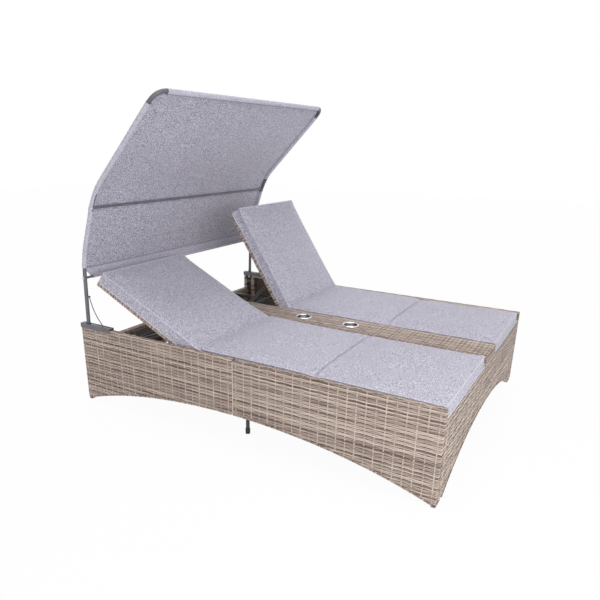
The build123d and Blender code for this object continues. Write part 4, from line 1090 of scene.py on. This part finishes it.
def sheet_faces(rows, columns):
    """Quads of the sheet's two faces and of the narrow walls round its rim."""
    i, j = np.meshgrid(np.arange(rows - 1), np.arange(columns - 1), indexing="ij")
    a = (i * columns + j).ravel()
    front = np.stack([a, a + 1, a + columns + 1, a + columns], axis=-1)
    size = rows * columns
    rim = np.concatenate([
        np.arange(columns), np.arange(1, rows) * columns + columns - 1,
        (rows - 1) * columns + np.arange(columns - 2, -1, -1),
        np.arange(rows - 2, 0, -1) * columns,
    ])
    after = np.roll(rim, -1)
    walls = np.stack([rim, rim + size, after + size, after], axis=-1)
    return np.concatenate([front, front[:, ::-1] + size, walls])


def canopy_sheet(half_width):
    """The cloth between the tubes, with each point's distance from its sewn edges."""
    share = np.linspace(-1, 1, SHEET_COLUMNS)
    x = half_width[:, None] * share[None, :]
    depth = sheet_depth(x, share)
    line_y, line_z = SHEET_LINE[:, 0:1], SHEET_LINE[:, 1:2]
    out_y, out_z = SHEET_NORMAL[:, 0:1], SHEET_NORMAL[:, 1:2]
    front = world_point(x, line_y + out_y * depth, line_z + out_z * depth)
    back = front + world_point(0, out_y, out_z) * FABRIC_THICK
    points = np.concatenate([front.reshape(-1, 3), back.reshape(-1, 3)])
    sheet = quad_object("canopy_cloth", points, sheet_faces(*x.shape), CANOPY)
    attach(sheet, "canopy")
    to_side = half_width[:, None] - np.abs(x)
    edge = np.minimum(to_side, (SHEET_LENGTH - SHEET_ALONG)[:, None])
    edge = np.minimum(edge, (SHEET_ALONG - BOTTOM_HEM)[:, None] + SEAM).ravel()
    layer = sheet.data.attributes.new("edge", "FLOAT", "POINT")
    layer.data.foreach_set("value", np.concatenate([edge, edge]))
    return sheet


SLEEVE_SIDES = 20
SLEEVE_WAVE = 0.0003
SLEEVE_WAVE_PITCH = 0.031
SLEEVE_END = 0.0004
BAR_SLEEVE_STEP = 0.006
BAR_SLEEVE_WAVE_PITCH = 0.037
BOLT_REACH = 0.013
WINDOW_EDGE = 0.002


def side_sleeve(side, line, normal, along):
    """Sleeve round a side tube, with a window at the middle bar and a bulge over its bolt."""
    radius = SLEEVE_RADIUS + SLEEVE_WAVE * np.sin(2 * pi * along / SLEEVE_WAVE_PITCH)
    radius[0] = radius[-1] = SLEEVE_RADIUS + SLEEVE_END
    post = side * POST_LINE
    path = world_point(post, line[:, 0], line[:, 1])
    out = world_point(0.0, normal[:, 0], normal[:, 1])
    points, faces = tube(path, out, radius, SLEEVE_SIDES)
    outward = side * (points[:, 0] - post) / SLEEVE_RADIUS
    near = np.exp(-(((points[:, 2] - MID_BAR) / BOLT_REACH) ** 2))
    points[:, 0] += side * BOLT_RISE * near * np.clip(outward, 0, 1) ** 2
    middle = points[faces].mean(axis=1)
    window = (middle[:, 2] > SLEEVE_WINDOW[0]) & (middle[:, 2] < SLEEVE_WINDOW[1])
    window &= side * (middle[:, 0] - post) < WINDOW_EDGE
    return points, faces[~window]


def bar_sleeve(place, half, radius):
    """Sleeve round a bar that crosses the canopy."""
    x = np.linspace(-half, half, int(2 * half / BAR_SLEEVE_STEP))
    path = world_point(x, *place)
    upward = np.broadcast_to(np.array([0.0, 0.0, 1.0]), path.shape)
    wave = SLEEVE_WAVE * np.sin(2 * pi * x / BAR_SLEEVE_WAVE_PITCH)
    return tube(path, upward, radius + wave, SLEEVE_SIDES)


def canopy_sleeves():
    line, normal, along = tube_path(0.0, step=0.004)
    inside = (line[:, 1] >= HEM_HEIGHT) & (along < along[-1] - SLEEVE_CORNER)
    parts = [
        side_sleeve(side, line[inside], normal[inside], along[inside]) for _, side in SIDES
    ]
    parts.append(bar_sleeve(TUBE_CORNERS[-1], POST_LINE - SLEEVE_CORNER, SLEEVE_RADIUS))
    parts.append(bar_sleeve(line[0], HEM_HALF, BAR_SLEEVE_RADIUS))
    # The sleeves have no edge attribute, so the canopy cloth paints them all over with its lighter
    # seam band: painted highlight
    sleeves = quad_object("canopy_sleeves", *joined(parts), CANOPY)
    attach(sleeves, "canopy")
    return sleeves


half_width = sheet_half_widths()
sheet = canopy_sheet(half_width)
sleeves = canopy_sleeves()
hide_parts("canopy_fabric")


# Finishes of the hard pieces
def metal_paint(name, colour, roughness, metallic=0.0):
    """Painted or bare metal, or plastic, with a fine uneven surface."""
    p = Paint(bpy.data.materials.new(name))
    at = p.place()
    speck = p.noise(at, scale=900.0)
    broad = p.noise(at, scale=14.0)
    lighter = tuple(min(1.0, c * 1.25 + 0.01) for c in colour)
    tint = p.mix(p.spread(broad, 0.35, 0.75), colour, lighter)
    relief = p.bump(speck, distance=0.0001, strength=0.35)
    rough = (broad - 0.5) * 0.12 + roughness
    return p.finish(tint, rough, Metallic=metallic, Normal=relief)


def brushed_paint(name, colour, smeared):
    """Pressed steel with fine rings round a cup's axis."""
    p = Paint(bpy.data.materials.new(name))
    at = p.place()
    rings = p.noise(p.parts(at)[2], scale=900.0)
    smear = p.noise(at, scale=40.0)
    relief = p.bump(rings, distance=0.00005, strength=0.3)
    tint = p.mix(smear, colour, smeared)
    return p.finish(tint, smear * 0.12 + 0.08, Metallic=1.0, Normal=relief)


FINISHES = {
    "base_metal": metal_paint("dark_coat", (0.040, 0.036, 0.034), 0.45),
    "canopy_metal": metal_paint("grey_coat", (0.125, 0.125, 0.145), 0.4, metallic=0.2),
    "cup_steel": brushed_paint("cup_steel", (0.95, 0.945, 0.94), (0.86, 0.86, 0.86)),
    "fasteners": metal_paint("zinc", (0.45, 0.45, 0.46), 0.32, metallic=1.0),
    "rubber": metal_paint("rubber", (0.018, 0.018, 0.018), 0.7),
    "glide_plastic": metal_paint("glide", (0.26, 0.21, 0.18), 0.6),
}
for entry in frame["record"]["subparts"]:
    finish = FINISHES.get(entry["material_slot"])
    if finish:
        mesh = frame["nodes"][entry["node"]].data
        mesh.materials.clear()
        mesh.materials.append(finish)

# Floor and surroundings: even white where the camera sees them, soft light elsewhere
FLOOR_HALF = 14.0
FLOOR_TONE = (0.82, 0.82, 0.82, 1.0)
WHITE = (1.0, 1.0, 1.0, 1.0)
FLOOR_GLOW_SHARE = 0.96
AMBIENT = 0.45


def pale_floor():
    p = Paint(bpy.data.materials.new("floor"))
    rays = p.node("ShaderNodeLightPath")
    seen = (rays + rays.beside("Is Glossy Ray")).clamped()
    plain = p.node("ShaderNodeBsdfDiffuse", None, {"Color": FLOOR_TONE})
    glow = p.node("ShaderNodeEmission", None, {"Color": WHITE, "Strength": 1.0})
    surface = p.node("ShaderNodeMixShader", None, {0: seen * FLOOR_GLOW_SHARE, 1: plain, 2: glow})
    p.node("ShaderNodeOutputMaterial", None, {"Surface": surface})
    corners = FLOOR_HALF * np.array([(-1, -1, 0), (1, -1, 0), (1, 1, 0), (-1, 1, 0)])
    quad_object("floor", corners, np.array([[0, 1, 2, 3]]), p.owner)


def white_world():
    world = bpy.data.worlds.new("studio")
    scene.world = world
    p = Paint(world)
    rays = p.node("ShaderNodeLightPath")
    through = rays.beside("Is Transmission Ray")
    seen = (rays + rays.beside("Is Glossy Ray") + through).clamped()
    ambient = p.node("ShaderNodeBackground", None, {0: WHITE, 1: AMBIENT})
    white = p.node("ShaderNodeBackground", None, {0: WHITE, 1: 1.0})
    both = p.node("ShaderNodeMixShader", None, {0: seen, 1: ambient, 2: white})
    p.node("ShaderNodeOutputWorld", None, {"Surface": both})


pale_floor()
white_world()


# Lights, each with the direction that it comes from
def add_light(name, kind, way, energy, place=(0, 0, 0)):
    lamp = bpy.data.lights.new(name, kind)
    lamp.energy = energy
    obj = bpy.data.objects.new(name, lamp)
    obj.location = place
    obj.rotation_mode = "QUATERNION"
    obj.rotation_quaternion = Vector(way).to_track_quat("Z", "Y")
    scene.collection.objects.link(obj)
    return lamp


for name, way, strength, spread in (
    ("key", (0.05, 0.1, 1.0), 1.25, 40),
    ("front", (-0.35, -1.0, 0.3), 0.78, 50),
    ("fill", (-1.0, -0.3, 0.4), 0.3, 60),
):
    add_light(name, "SUN", way, strength).angle = radians(spread)
foot_light = add_light("foot_light", "AREA", (-1.3, -1.0, 0.8), 15, place=(-1.9, -1.9, 1.2))
foot_light.shape = "DISK"
foot_light.size = 1.2

# Camera, fitted to the photograph; focal length and principal point in its pixels
PHOTO_SIZE = 600
CAMERA_PLACE = (-2.81, -1.45, 1.39)
AZIMUTH, ELEVATION, ROLL = radians(-59.50), radians(19.61), radians(0.73)
FOCAL = 573.08
PRINCIPAL_X, PRINCIPAL_Y = 280.99, 345.83
SENSOR = 36

lens = bpy.data.cameras.new("camera")
lens.sensor_width = SENSOR
lens.lens = FOCAL / PHOTO_SIZE * SENSOR
lens.shift_x = (PHOTO_SIZE / 2 - PRINCIPAL_X) / PHOTO_SIZE
lens.shift_y = (PRINCIPAL_Y - PHOTO_SIZE / 2) / PHOTO_SIZE
camera = bpy.data.objects.new("camera", lens)
aim = Matrix.Rotation(AZIMUTH, 4, "Z") @ Matrix.Rotation(pi / 2 - ELEVATION, 4, "X")
camera.matrix_world = Matrix.Translation(CAMERA_PLACE) @ aim @ Matrix.Rotation(ROLL, 4, "Z")
scene.collection.objects.link(camera)
scene.camera = camera
scene.view_settings.view_transform = "Standard"
